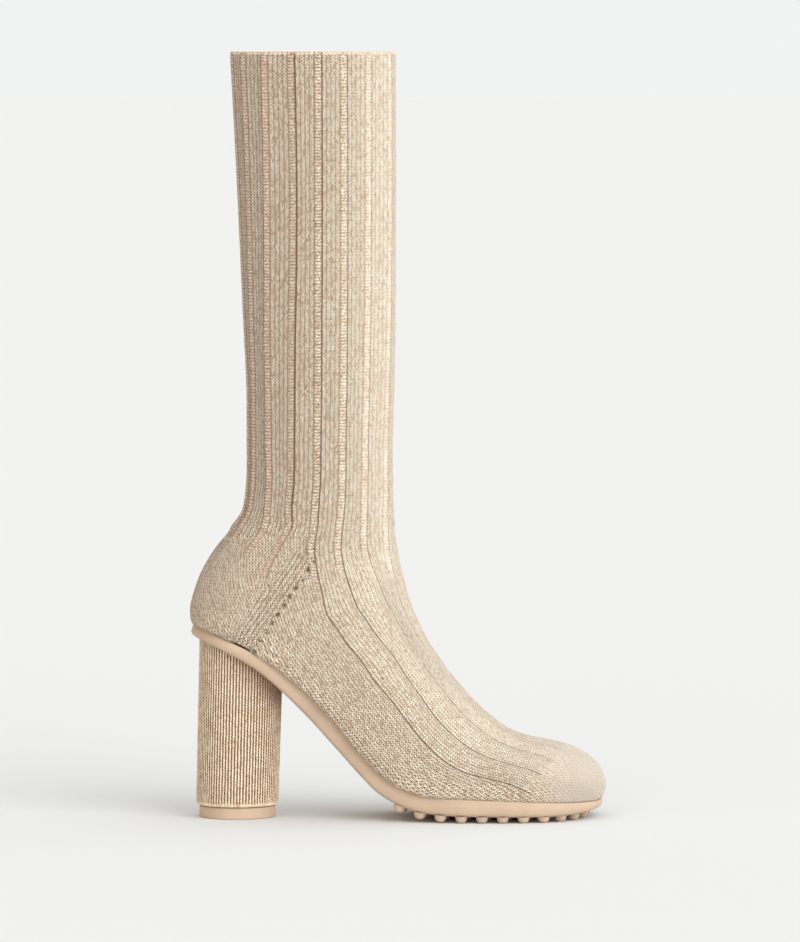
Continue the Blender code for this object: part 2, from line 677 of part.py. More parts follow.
def stud_bodies():
    """All the studs as one loose set of domes, each with a small flat tip."""
    points, faces = [], []
    radius = STUD_DIAMETER / 2
    angles = np.linspace(0, 2 * np.pi, STUD_SIDES, endpoint=False)
    for x, y in stud_places():
        under = float(sole_bottom(x))
        slope = float(sole_bottom(x + SLOPE_STEP) - sole_bottom(x - SLOPE_STEP)) / (2 * SLOPE_STEP)
        down = np.array([slope, 0.0, -1.0]) / np.hypot(slope, 1)
        along = np.array([-down[2], 0.0, down[0]])
        across = np.array([0.0, 1.0, 0.0])
        middle = np.array([x, y, under])
        height_left = max(min(STUD_HEIGHT, -under / down[2]), STUD_HEIGHT * 0.5)
        stands = under + height_left * down[2] < GAP
        loops = []
        for wide, deep in STUD_PROFILE:
            loops.append(list(range(len(points), len(points) + STUD_SIDES)))
            for angle in angles:
                ring = along * np.cos(angle) + across * np.sin(angle)
                reach = height_left * deep if deep > 0 else STUD_HEIGHT * deep
                point = middle + ring * radius * wide + down * reach
                if deep == 1.0 and stands:
                    point[2] = 0.0
                points.append(point)
        faces += loft_faces(loops)
        faces += [loops[0][::-1], loops[-1]]
    return points, faces


def build_outsole():
    """The moulded sole with its studs, one body."""
    levels = [(share * SOLE_THICKNESS, sole_level(down)) for down, share in SOLE_EDGE]
    sole = slab("outsole", levels, end_shares(SOLE_STATIONS, 0.5), RUBBER_COLOUR, 0.6)
    points, faces = stud_bodies()
    studs = joined("stud_cutter", points, faces, RUBBER_COLOUR, 0.6)
    boot.objects.unlink(studs)
    cutters.objects.link(studs)
    studs.hide_render = True
    studs.display_type = "WIRE"
    union = sole.modifiers.new("studs", "BOOLEAN")
    union.operation = "UNION"
    union.solver = "EXACT"
    union.object = studs
    return sole


def build_insole():
    """The board that fills the opening under the upper."""
    inset = LASTING_MARGIN + 2.5 * GAP
    levels = [(inset, on_sole(INSOLE_THICKNESS)), (inset, on_sole(0.0))]
    return slab("insole", levels, end_shares(INSOLE_STATIONS), BOARD_COLOUR, 0.85)


def round_body(name, rings, sides, colour, roughness, top_at=None):
    """A round body from rings of radius, height and x; its top may follow a line."""
    points, loops = [], []
    angles = np.linspace(0, 2 * np.pi, sides, endpoint=False)
    for radius, level, x in rings:
        loops.append(list(range(len(points), len(points) + sides)))
        for angle in angles:
            px = x + radius * np.cos(angle)
            pz = level if level is not None else top_at(px)
            points.append((px, radius * np.sin(angle), pz))
    faces = [face for face in loft_faces(loops)]
    faces.append(loops[0][::-1])
    last = loops[-1]
    for j in range(sides // 2):
        ring = [last[j], last[j + 1], last[(sides - j - 1) % sides], last[(sides - j) % sides]]
        faces.append(list(dict.fromkeys(ring)))
    return joined(name, points, faces, colour, roughness)


def build_heel():
    """The covered heel block, leaning a little, cut to the underside of the sole."""
    radius = HEEL_DIAMETER / 2
    bottom = LIFT_HEIGHT + GAP
    rings = [
        (radius - HEEL_EASE, bottom, 0.0),
        (radius - HEEL_EASE * 0.3, bottom + HEEL_EASE * 0.3, 0.0),
        (radius, bottom + HEEL_EASE, 0.0),
        (radius, None, HEEL_LEAN),
    ]
    return round_body(
        "heel", rings, HEEL_SIDES, KNIT_COLOUR, 0.9, lambda x: float(sole_bottom(x)) - GAP
    )


def build_top_piece():
    """The round rubber lift on the ground."""
    radius = LIFT_DIAMETER / 2
    rings = [
        (radius - LIFT_EASE, 0.0, 0.0),
        (radius, LIFT_EASE, 0.0),
        (radius, LIFT_HEIGHT - LIFT_EASE, 0.0),
        (radius - LIFT_EASE, LIFT_HEIGHT, 0.0),
    ]
    return round_body("top_piece", rings, HEEL_SIDES, RUBBER_COLOUR, 0.6)


# The whole boot

for stale in list(bpy.data.objects):
    bpy.data.objects.remove(stale, do_unlink=True)
boot = bpy.data.collections.new("sock_boot")
bpy.context.scene.collection.children.link(boot)
cutters = bpy.data.collections.new("cutters")
bpy.context.scene.collection.children.link(cutters)
cutters.hide_render = True

build_upper()
build_outsole()
build_insole()
build_heel()
build_top_piece()
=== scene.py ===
"""Looks of the sock boot: fine knit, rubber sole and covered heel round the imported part."""

import math

import bpy
import mathutils
import numpy as np
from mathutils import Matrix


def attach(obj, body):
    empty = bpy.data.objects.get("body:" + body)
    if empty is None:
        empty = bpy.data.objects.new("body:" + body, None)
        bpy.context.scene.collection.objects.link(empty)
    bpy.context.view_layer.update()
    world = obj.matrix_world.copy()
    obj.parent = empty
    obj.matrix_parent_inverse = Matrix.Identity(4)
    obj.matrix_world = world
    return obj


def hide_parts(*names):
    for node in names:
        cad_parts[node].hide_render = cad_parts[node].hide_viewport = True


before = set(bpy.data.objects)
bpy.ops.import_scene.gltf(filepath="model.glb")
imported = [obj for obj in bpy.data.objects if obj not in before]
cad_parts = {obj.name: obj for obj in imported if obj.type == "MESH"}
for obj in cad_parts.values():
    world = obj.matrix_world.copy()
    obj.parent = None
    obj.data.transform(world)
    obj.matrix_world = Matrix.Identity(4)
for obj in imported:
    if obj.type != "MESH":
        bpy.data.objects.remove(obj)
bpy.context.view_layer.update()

# Driving sizes, metres
BOOT_HEIGHT = 0.3895  # ground to collar
ANKLE_HEIGHT = 0.185  # ground to the narrowest part of the shaft
SEAT_HEIGHT = 0.0987  # ground to the top of the sole at the back
REACH = 0.1883  # heel centre to the tip of the toe
SOLE_BACK = 0.0225  # heel centre to the back of the sole
SOLE_FRONT = 0.1865  # heel centre to the front of the sole
BALL_WIDTH = 0.079
SHAFT_WIDTH = 0.072
SOLE_THICKNESS = 0.0076
WALL = 0.0022  # knit of the upper
LASTING_MARGIN = 0.009  # how far the knit turns in under the foot
INSOLE_THICKNESS = 0.002
HEEL_DIAMETER = 0.0421
HEEL_LEAN = 0.0018  # the top of the heel stands this far forward
HEEL_EASE = 0.0012  # how far its lower edge rounds in
LIFT_DIAMETER = 0.0388
LIFT_HEIGHT = 0.006
LIFT_EASE = 0.0007  # round of its two edges
BAND_RAISE = 0.0010
BAND_WIDTH = 0.0120
STUD_DIAMETER = 0.0056
STUD_PITCH = 0.0103
GAP = 0.0003
SEAT_GAP = 0.0005  # between the sole and what lies on its curved top
SLOPE_STEP = 0.0005  # over which a slope is measured

PROFILE_SAMPLES = 241

# Sole, a row per station: share of its length, height of its top as a share of
# the seat height, its thickness, and its half widths as shares of the ball width
SOLE_COLUMNS = ("at", "top", "thick", "outer", "inner")
SOLE = (
    (0.000, 1.000, 0.71, 0.335, 0.335),
    (0.050, 0.955, 0.68, 0.338, 0.337),
    (0.090, 0.916, 0.67, 0.341, 0.336),
    (0.143, 0.861, 0.72, 0.340, 0.330),
    (0.192, 0.796, 0.80, 0.332, 0.318),
    (0.253, 0.693, 0.93, 0.323, 0.300),
    (0.291, 0.621, 1.00, 0.322, 0.288),
    (0.326, 0.547, 1.03, 0.325, 0.276),
    (0.362, 0.456, 0.98, 0.333, 0.268),
    (0.395, 0.371, 0.91, 0.346, 0.272),
    (0.435, 0.277, 0.90, 0.372, 0.287),
    (0.469, 0.213, 0.97, 0.396, 0.312),
    (0.504, 0.168, 0.98, 0.424, 0.344),
    (0.541, 0.138, 0.99, 0.452, 0.378),
    (0.572, 0.124, 1.00, 0.472, 0.408),
    (0.643, 0.115, 1.03, 0.502, 0.462),
    (0.737, 0.107, 0.97, 0.510, 0.494),
    (0.825, 0.099, 0.89, 0.494, 0.498),
    (0.897, 0.092, 0.79, 0.470, 0.492),
    (0.945, 0.089, 0.66, 0.450, 0.485),
    (1.000, 0.090, 0.48, 0.430, 0.480),
)
SIDES = ((-1, "outer"), (1, "inner"))
HEEL_ROUND = 0.125  # share of the length over which the heel end rounds off
TOE_ROUND = 0.200
TIP_INWARD = 0.040  # the tip lies this far toward the big toe, share of ball width

# Sections of the upper above the sole, from the collar down round the heel.
# Each runs from a back point to a front point: x as shares of the reach,
# heights with 1 at the ankle and 2 at the collar.
LEG_COLUMNS = ("back", "back_high", "front", "front_high", "wide", "rise", "low", "top")
LEG = (
    (-0.016, 2.000, 0.428, 2.000, 1.00, 0.50, 2.1, 2.1),
    (-0.001, 1.739, 0.429, 1.739, 1.00, 0.50, 2.1, 2.1),
    (0.017, 1.384, 0.428, 1.384, 0.98, 0.50, 2.1, 2.1),
    (0.029, 1.133, 0.424, 1.143, 0.94, 0.50, 2.1, 2.1),
    (0.029, 0.973, 0.420, 1.015, 0.91, 0.50, 2.1, 2.1),
    (0.019, 0.857, 0.421, 0.908, 0.89, 0.48, 2.1, 2.1),
    (-0.022, 0.789, 0.424, 0.830, 0.88, 0.46, 2.1, 2.1),
    (-0.066, 0.732, 0.428, 0.773, 0.87, 0.44, 2.1, 2.1),
    (-0.108, 0.651, 0.437, 0.719, 0.86, 0.42, 2.2, 2.1),
    (-0.128, 0.573, 0.451, 0.659, 0.86, 0.41, 2.3, 2.1),
)
# Sections that stand on the sole: the back point lies on it, or above it by a lift
# that is a share of the ankle height; the width is a share of the sole's own
FOOT_COLUMNS = ("back", "lift", "front", "front_high", "wide", "rise", "low", "top")
FOOT = (
    (-0.121, 0.005, 0.468, 0.597, 1.17, 0.40, 3.2, 2.1),
    (-0.085, 0.000, 0.481, 0.562, 1.16, 0.40, 4.6, 2.1),
    (-0.032, 0.000, 0.498, 0.525, 1.15, 0.40, 6.5, 2.1),
    (0.032, 0.000, 0.517, 0.486, 1.15, 0.40, 8.0, 2.1),
    (0.106, 0.000, 0.542, 0.449, 1.15, 0.39, 8.5, 2.1),
    (0.181, 0.000, 0.571, 0.405, 1.14, 0.38, 8.5, 2.0),
    (0.255, 0.000, 0.603, 0.366, 1.12, 0.36, 8.0, 2.0),
    (0.324, 0.000, 0.643, 0.319, 1.09, 0.35, 7.5, 2.0),
    (0.393, 0.000, 0.688, 0.278, 1.06, 0.34, 7.0, 2.0),
    (0.473, 0.000, 0.738, 0.242, 1.04, 0.33, 7.0, 2.0),
    (0.558, 0.000, 0.791, 0.222, 1.02, 0.32, 7.0, 2.0),
    (0.643, 0.000, 0.844, 0.211, 1.01, 0.32, 7.0, 2.0),
    (0.728, 0.000, 0.895, 0.198, 1.00, 0.32, 7.0, 2.0),
    (0.807, 0.000, 0.935, 0.180, 1.00, 0.33, 7.0, 2.1),
    (0.871, 0.000, 0.961, 0.160, 1.00, 0.35, 6.5, 2.2),
    (0.919, 0.000, 0.980, 0.141, 1.00, 0.38, 5.5, 2.2),
    (0.956, 0.000, 0.993, 0.118, 1.00, 0.41, 4.6, 2.2),
    (0.986, 0.011, 0.998, 0.101, 1.00, 0.44, 3.4, 2.2),
    (1.000, 0.038, 1.000, 0.085, 1.00, 0.46, 2.6, 2.2),
)
TOE_OVERHANG = 0.0018  # the toe stands this far over the sole
SIDE_FULLNESS = 0.35  # how strongly the width column swells the sides
OUTLINE_TAKES_OVER = (6.0, 12.0)  # rows over which the sole's outline sets the width
LAST_LEG = len(LEG) - 1
LAST_ROW = LAST_LEG + len(FOOT)

# Grooves between the ribs: at each section row, how far down the side each lies as
# a share of the half section, from its front to its back; the front seam groove is 0
GROOVE_COLUMNS = ("row", "1st", "2nd", "3rd", "4th", "5th", "6th", "7th", "8th")
GROOVES = (
    (0, 0.108, 0.240, 0.354, 0.460, 0.572, 0.720, 0.836, 0.945),
    (1, 0.110, 0.250, 0.363, 0.471, 0.577, 0.730, 0.840, 0.945),
    (3, 0.125, 0.266, 0.379, 0.493, 0.614, 0.770, 0.875, 0.955),
    (5, 0.120, 0.257, 0.370, 0.490, 0.615, 0.757, 0.876, 0.955),
    (6, 0.115, 0.240, 0.354, 0.466, 0.578, 0.723, 0.866, 0.952),
    (7, 0.108, 0.224, 0.338, 0.447, 0.589, 0.737, 0.860, 0.950),
    (8, 0.099, 0.198, 0.310, 0.414, 0.604, 0.745, 0.856, 0.950),
    (9, 0.094, 0.170, 0.287, 0.392, 0.570, 0.730, 0.850, 0.950),
    (11, 0.090, 0.147, 0.262, 0.384, 0.560, 0.730, 0.850, 0.950),
    (13, 0.092, 0.156, 0.269, 0.407, 0.570, 0.730, 0.850, 0.950),
    (15, 0.096, 0.186, 0.303, 0.443, 0.590, 0.730, 0.850, 0.950),
    (17, 0.090, 0.208, 0.337, 0.455, 0.600, 0.730, 0.850, 0.950),
    (19, 0.095, 0.222, 0.347, 0.471, 0.610, 0.740, 0.850, 0.950),
    (21, 0.138, 0.273, 0.391, 0.504, 0.620, 0.740, 0.850, 0.950),
    (23, 0.160, 0.320, 0.450, 0.560, 0.650, 0.750, 0.850, 0.950),
    (28, 0.150, 0.300, 0.420, 0.530, 0.640, 0.750, 0.850, 0.950),
)
MOVABLE_FROM = 4  # the grooves after the 4th make room for the opening underneath
# The section row at which each groove fades out, the front one first
GROOVE_ENDS = (21.4, 21.6, 21.8, 22.2, 22.6, 8.2, 7.2, 6.5, 6.2)

# Gusset band, from the sole up to its head, as shares of the reach and the ankle
BAND_FOOT = (0.016, 0.488)
BAND_HEAD = (0.186, 0.742)

STUDS_FROM = 0.0832  # first row of studs, on the rise behind the tread
STUD_EDGE = 0.0046  # from the sole's edge to the centres of the outer studs
STUDS_SHORT = 0.0045  # the studs under the toe stay this much further back
STUDS_TURN = 0.030  # length over which they draw back
STUD_HEIGHT = 0.0035


# Shared helpers


def between(knots, values, t):
    """Values at t on a smooth curve through the rows of a table, without overshoot."""
    knots = np.asarray(knots, float)
    values = np.asarray(values, float)
    if values.ndim == 1:
        values = values[:, None]
        return between(knots, values, t)[..., 0]
    t = np.clip(np.asarray(t, float), knots[0], knots[-1])
    step = np.diff(knots)[:, None]
    slope = np.diff(values, axis=0) / step
    before, after = slope[:-1], slope[1:]
    h0, h1 = step[:-1], step[1:]
    same = before * after > 0
    w0, w1 = 2 * h1 + h0, h1 + 2 * h0
    safe0 = np.where(same, before, 1.0)
    safe1 = np.where(same, after, 1.0)
    inside = np.where(same, (w0 + w1) / (w0 / safe0 + w1 / safe1), 0.0)
    lean = np.vstack([slope[:1], inside, slope[-1:]])
    i = np.clip(np.searchsorted(knots, t, side="right") - 1, 0, len(knots) - 2)
    h = step[i]
    u = ((t - knots[i])[..., None]) / h
    a, b = values[i], values[i + 1]
    return (
        a * (1 + 2 * u) * (1 - u) ** 2
        + lean[i] * h * u * (1 - u) ** 2
        + b * u**2 * (3 - 2 * u)
        + lean[i + 1] * h * u**2 * (u - 1)
    )


def columns(table, names, wanted):
    """One or more named columns of a table."""
    return np.array([[row[names.index(name)] for name in wanted] for row in table])


SOLE_AT, SOLE_TOP, SOLE_THICK = columns(SOLE, SOLE_COLUMNS, ("at", "top", "thick")).T
SOLE_HALF = {side: columns(SOLE, SOLE_COLUMNS, (name,))[:, 0] for side, name in SIDES}


def smoothstep(x, low, high):
    """0 below low, 1 above high, smooth between them."""
    u = np.clip((x - low) / (high - low), 0.0, 1.0)
    return u * u * (3 - 2 * u)


def height(share):
    """Height of a share: 0 at the ground, 1 at the ankle, 2 at the collar."""
    above = np.maximum(share - 1, 0) * (BOOT_HEIGHT - ANKLE_HEIGHT)
    return np.minimum(share, 1) * ANKLE_HEIGHT + above


# The sole's own lines


def sole_share(x):
    """Share of the sole's length at x."""
    return (x + SOLE_BACK) / (SOLE_BACK + SOLE_FRONT)


def end_round(share):
    """1 along the sole, falling to 0 at its two round ends."""
    heel = np.clip(1 - share / HEEL_ROUND, 0, 1)
    toe = np.clip((share - 1 + TOE_ROUND) / TOE_ROUND, 0, 1)
    return (1 - heel**2.1) ** (1 / 2.1) * (1 - toe**2.3) ** (1 / 2.3)


def outline(share, side, inset=0.0):
    """x and y of the sole's outline, drawn in by an inset; side -1 is the outer one."""
    half = between(SOLE_AT, SOLE_HALF[side] * BALL_WIDTH, share)
    full = end_round(share)
    x = -SOLE_BACK + inset + (SOLE_BACK + SOLE_FRONT - 2 * inset) * share
    tip = TIP_INWARD * BALL_WIDTH * smoothstep(share, 1 - TOE_ROUND, 1)
    return x, tip + (side * (half - inset) - tip) * full


def outline_at(x, side, inset=0.0):
    """y of the inset outline at x."""
    length = SOLE_BACK + SOLE_FRONT - 2 * inset
    share = np.clip((x + SOLE_BACK - inset) / length, 0, 1)
    return outline(share, side, inset)[1]


def sole_top(x):
    """Height of the top of the sole at x."""
    return between(SOLE_AT, SOLE_TOP * SEAT_HEIGHT, sole_share(x))


def sole_slope(x):
    """Slope of the sole's top at x."""
    slope = (sole_top(x + SLOPE_STEP) - sole_top(x - SLOPE_STEP)) / (2 * SLOPE_STEP)
    return np.where(sole_share(x) > 0.99, slope * 0, slope)


def seated(x):
    """Height at x of a surface that lies on the sole with a small gap."""
    return sole_top(x) + SEAT_GAP * np.sqrt(1 + sole_slope(x) ** 2)


def sole_thickness(x):
    """Thickness of the sole at x, square to its top."""
    return between(SOLE_AT, SOLE_THICK * SOLE_THICKNESS, sole_share(x))


def under_sole(x, down):
    """The point a share of the thickness below the sole's top at x, and its height."""
    slope = sole_slope(x)
    deep = sole_thickness(x) * down
    across = np.sqrt(1 + slope**2)
    return x + deep * slope / across, sole_top(x) - deep / across


def sole_bottom(x):
    """Height of the underside of the sole at x."""
    tops = np.linspace(-SOLE_BACK, SOLE_FRONT, 400)
    under_x, under_z = under_sole(tops, 1.0)
    order = np.argsort(under_x)
    return np.interp(x, under_x[order], under_z[order])


# The upper


def section_ends(t):
    """x and height of the back and the front point of the sections at rows t."""
    leg = columns(LEG, LEG_COLUMNS, LEG_COLUMNS[:4])
    foot = columns(FOOT, FOOT_COLUMNS, FOOT_COLUMNS[:4])
    back_x = np.concatenate([leg[:, 0], foot[:, 0]]) * REACH
    resting = seated(foot[:, 0] * REACH) + foot[:, 1] * ANKLE_HEIGHT
    back_z = np.concatenate([height(leg[:, 1]), resting])
    front_x = np.concatenate([leg[:, 2], foot[:, 2]]) * REACH
    front_z = height(np.concatenate([leg[:, 3], foot[:, 3]]))
    rows = np.arange(LAST_ROW + 1)
    found = between(rows, np.column_stack([back_x, back_z, front_x, front_z]), t)
    standing = (t > LAST_LEG + 2) & (t < LAST_ROW - 2)
    found[:, 1] = np.where(standing, seated(found[:, 0]), found[:, 1])
    return found


def drawn_in(t, inset):
    """The ends of the sections at rows t, moved square into the boot by an inset."""
    step = 0.02
    here = section_ends(t)
    run = section_ends(np.minimum(t + step, LAST_ROW))
    run -= section_ends(np.maximum(t - step, 0))
    back = np.maximum(np.hypot(run[:, 0], run[:, 1]), 1e-9)
    front = np.maximum(np.hypot(run[:, 2], run[:, 3]), 1e-9)
    here[:, 0] -= inset * run[:, 1] / back
    here[:, 1] += inset * run[:, 0] / back
    here[:, 2] += inset * run[:, 3] / front
    here[:, 3] -= inset * run[:, 2] / front
    return here


def sections(t, inset):
    """The sections at rows t: ends, half widths of both sides, ridge and three shapes."""
    t = np.atleast_1d(np.asarray(t, float))
    here = drawn_in(t, inset) if inset else section_ends(t)
    leg = columns(LEG, LEG_COLUMNS, LEG_COLUMNS[4:])
    foot = columns(FOOT, FOOT_COLUMNS, FOOT_COLUMNS[4:])
    rows = np.arange(LAST_ROW + 1)
    leg_wide = between(rows[: LAST_LEG + 1], leg[:, 0], t)
    foot_wide = between(rows[LAST_LEG + 1 :], foot[:, 0], t)
    rise, low, top = between(rows, np.vstack([leg, foot])[:, 1:], t).T
    x_wide = here[:, 0] + (here[:, 2] - here[:, 0]) * rise
    over = TOE_OVERHANG * smoothstep(x_wide / REACH, 0.6, 0.9) - inset
    over += (foot_wide - 1) * SIDE_FULLNESS * BALL_WIDTH
    on_outline = smoothstep(t, *OUTLINE_TAKES_OVER)
    ridge = TIP_INWARD * BALL_WIDTH * smoothstep(t, LAST_LEG + 3, LAST_ROW - 3)
    halves = []
    for side, _ in SIDES:
        from_leg = leg_wide * SHAFT_WIDTH / 2 - inset
        from_outline = side * (outline_at(x_wide, side, -over) - ridge)
        halves.append(from_leg * (1 - on_outline) + from_outline * on_outline)
    return here, halves, ridge, rise, low, top


def half_section(t, side, inset=0.0):
    """Points down one side of a section, from its front point to its back point."""
    here, halves, ridge, rise, low, top = sections(t, inset)
    here, ridge, rise, low, top = here[0], ridge[0], rise[0], low[0], top[0]
    half = halves[0][0] if side < 0 else halves[1][0]
    turn = np.linspace(0, np.pi, PROFILE_SAMPLES)
    upper_part = turn <= np.pi / 2
    cosine, sine = np.abs(np.cos(turn)), np.sin(turn)
    power = np.where(upper_part, 2 / top, 2 / low)
    reach_out = np.maximum(sine, 0) ** power
    along = np.where(
        upper_part, rise + (1 - rise) * cosine**power, rise - rise * cosine**power
    )
    x = here[0] + (here[2] - here[0]) * along
    z = here[1] + (here[3] - here[1]) * along
    y = ridge + side * half * reach_out
    return np.column_stack([x, y, z])


def opened(t, side, inset):
    """One side of a section, stopped at the turned-in edge where it is open below."""
    points = half_section(t, side, inset)
    share = (section_ends(np.array([t]))[0, 0] + SOLE_BACK - LASTING_MARGIN) / (
        SOLE_BACK + SOLE_FRONT - 2 * LASTING_MARGIN
    )
    if t <= LAST_LEG or not 0 < share < 1:
        return points
    stop = outline(share, side, LASTING_MARGIN)[1] * side
    lower = len(points) // 2
    back_up = points[lower:][::-1]
    at = np.interp(stop, back_up[:, 1] * side, np.arange(len(back_up)))
    last = [np.interp(at, np.arange(len(back_up)), back_up[:, k]) for k in range(3)]
    kept = len(points) - 1 - int(np.ceil(at))
    return np.vstack([points[: kept + 1], last])


def at_shares(points, shares):
    """Points at shares of a line's length, and the line's whole length."""
    step = np.linalg.norm(np.diff(points, axis=0), axis=1)
    walked = np.concatenate([[0], np.cumsum(step)])
    wanted = np.asarray(shares) * walked[-1]
    found = np.column_stack([np.interp(wanted, walked, points[:, k]) for k in range(3)])
    return found, walked[-1]


def groove_places(t, end):
    """Shares of the half section at which the grooves lie at row t."""
    rows = columns(GROOVES, GROOVE_COLUMNS, ["row"])[:, 0]
    names = GROOVE_COLUMNS[1:]
    places = between(rows, columns(GROOVES, GROOVE_COLUMNS, names), np.array([t]))[0]
    fixed = places[MOVABLE_FROM - 1]
    lower = fixed + (places[MOVABLE_FROM:] - fixed) * (end - fixed) / (1 - fixed)
    return np.concatenate([[0.0], places[:MOVABLE_FROM], lower])


# Edge of the sole in section, from its top to its underside: share of the thickness
# and how far the edge is drawn in, as a share of the full thickness of the sole
SOLE_EDGE = ((0.0, 0.04), (0.30, 0.0), (0.72, 0.06), (0.92, 0.18), (1.0, 0.38))


# The knitted upper, as seen

RIBS_A_SIDE = 8
# Wales from the front seam to the crease of each groove; a rib is four knit wales wide
# and a recessed strip two
CREASE_WALES = (0, 6, 12, 18, 24, 30, 38, 44, 50)
STRIP_SIDES = (0, 1, 1, 1, 1, 1, -1, -1, -1)  # on which side of its crease a strip lies
LAST_WALE = 53
WALE = 0.00225
COURSE = 0.0016
FINE_WALE = 0.0016  # of the plain knit on the foot and at the back of the heel
RIB_CROWN = 0.0004
STRIP_DEPTH = 0.0008
FOOT_STRIP = 0.18  # on the foot the strips are this share as deep
STRIP_FLOOR = 0.45  # depth left at the shallow side of a strip
FRONT_STRIP = 0.5  # the strip down the front is this shallow
RIM_PLAIN = 0.0022  # plain edge under the collar
OUTER_ROWS = 236
LINING_ROWS = (30, 70)  # to the ankle and from there to the toe
LINING_COLUMNS = 40
ANKLE_ROW = 6
RIM_LOOP_STEPS = 8
RIM_AROUND = 12
RIM_SUNK = 0.0008  # the middle of the rim's yarn lies this far under the collar
POCKET_FROM = 6.3  # section row at which the heel pocket starts
POCKET_LEAN = 0.047  # radius over which the pocket's wales lean over
POCKET_TOP = 0.131
POCKET_MIDDLE = 0.006  # the heel's wales run round an upright axis at this x
POCKET_ROUND = 0.029
NOTCH_PITCH = 0.0054  # between the gaps along the gusset band's front edge
STRIP_WIDTH = 0.0040
FOOT_STRIP_WIDTH = 0.0030
TUCK_FROM = 0.0030  # below this height over the sole the knit is drawn down onto it
# Places of the fine columns across one rib, in wales from a strip's middle
RIB_STEPS = (0, 0.5, 0.8, 0.92, 1.0, 1.08, 1.2, 1.5, 2.0, 2.5)
MAP_SCALE = 0.01  # knit coordinates are kept small in the maps
# A wale of the plain knit under the lowest groove, as shares of reach and ankle height
FOOT_LINE = (
    (0.222, 0.821),
    (0.214, 0.709),
    (0.249, 0.572),
    (0.309, 0.480),
    (0.385, 0.374),
    (0.474, 0.264),
    (0.536, 0.194),
    (0.593, 0.160),
    (0.682, 0.118),
    (0.769, 0.076),
    (0.834, 0.026),
    (0.888, -0.035),
    (0.943, -0.118),
    (0.983, -0.200),
)


def strip_middles():
    """Wale count of each strip's middle."""
    return [crease + side for crease, side in zip(CREASE_WALES, STRIP_SIDES)]


def fine_wales():
    """Wale counts of the fine columns, from the front centre to the back."""
    wales = [LAST_WALE]
    middles = strip_middles()
    for k, middle in enumerate(middles):
        wales += [middle + s for s in RIB_STEPS]
        if k:
            wales += [middle - s for s in RIB_STEPS]
            wales.append((middle + middles[k - 1]) / 2)
    return np.array(sorted(set(wales)), float)


def shares_of_wales(wales, t, end, whole):
    """Where each wale lies on the half section at row t."""
    places = np.append(groove_places(t, end), end)
    counts = np.append(CREASE_WALES, LAST_WALE).astype(float)
    wide = STRIP_WIDTH + (FOOT_STRIP_WIDTH - STRIP_WIDTH) * smoothstep(t, 7, 11)
    beside = []
    for k, turned in enumerate(STRIP_SIDES):
        room = abs(places[k + turned] - places[k])
        beside.append((counts[k] + 2 * turned, places[k] + turned * min(wide / whole, 0.45 * room)))
    table = np.array(sorted(set(beside[1:]) | set(zip(counts, places))))
    return np.interp(wales, table[:, 0], table[:, 1])


def groove_fade(k, t):
    """1 where groove k is open, 0 past its end."""
    return 1 - smoothstep(t, GROOVE_ENDS[k] - 0.35, GROOVE_ENDS[k])


def rib_height(wales, t):
    """How deep the strips lie, how the ribs swell, the crease and what lies near it."""
    deep = np.zeros(len(wales))
    swell = np.zeros(len(wales))
    crease = np.zeros(len(wales))
    near = np.zeros(len(wales))
    middles = strip_middles()
    for k, middle in enumerate(middles):
        fade = groove_fade(k, t)
        across = (wales - middle) * (STRIP_SIDES[k] or 1)
        wall = smoothstep(across, -1.12, -0.96)
        if k == 0:
            across = np.abs(wales)
            wall = 1 - smoothstep(across, 0.5, 1.2)
            fade = fade * FRONT_STRIP
        floor = 1 - (1 - STRIP_FLOOR) * np.clip((across + 1) / 1.7, 0, 1)
        floor *= 1 - smoothstep(across, 0.7, 1.2)
        deep = np.maximum(deep, wall * floor * fade)
        line = smoothstep(across, -1.26, -1.08) * (1 - smoothstep(across, -0.92, -0.74))
        crease = np.maximum(crease, line * fade * (k > 0))
        near = np.maximum(near, (across > -1.2) * (1 - smoothstep(across, -0.8, 0.1)) * fade)
        if k < RIBS_A_SIDE:
            half = (middles[k + 1] - middle) / 2
            from_crown = np.abs(wales - middle - half)
            bulge = np.clip(1 - (from_crown / (half - 0.9)) ** 2, 0, 1)
            both = min(fade, groove_fade(k + 1, t))
            swell = np.where(from_crown < half - 1, bulge * both, swell)
    return deep, swell, crease, near


def row_list():
    """Fine section rows, evenly spread by the length they stand apart."""
    rows = np.linspace(0, LAST_ROW, 1500)
    ends = section_ends(rows)
    step = np.hypot(np.diff(ends[:, 2]), np.diff(ends[:, 3]))
    step = np.maximum(step, 0.75 * np.hypot(np.diff(ends[:, 0]), np.diff(ends[:, 1])))
    walked = np.concatenate([[0], np.cumsum(step)])
    return np.interp(np.linspace(0, walked[-1], OUTER_ROWS + 1)[:-1], walked, rows)


def side_grid(side, rows, wales):
    """Points of one side's grid and what the knit does at each of them."""
    found = {key: [] for key in ("points", "deep", "swell", "crease", "near")}
    for t in rows:
        whole = at_shares(half_section(t, side), [0.0])[1]
        line = opened(t, side, 0.0)
        end = at_shares(line, [0.0])[1] / whole
        shares = shares_of_wales(wales, t, end, whole)
        for key, item in zip(found, (at_shares(line, shares / end)[0], *rib_height(wales, t))):
            found[key].append(item)
    return {key: np.array(items) for key, items in found.items()}


def grid_normals(points, side):
    """Outward directions of a grid of points."""
    down = np.gradient(points, axis=0)
    across = np.gradient(points, axis=1)
    normal = np.cross(across, down) * side
    length = np.linalg.norm(normal, axis=2, keepdims=True)
    return normal / np.maximum(length, 1e-12)


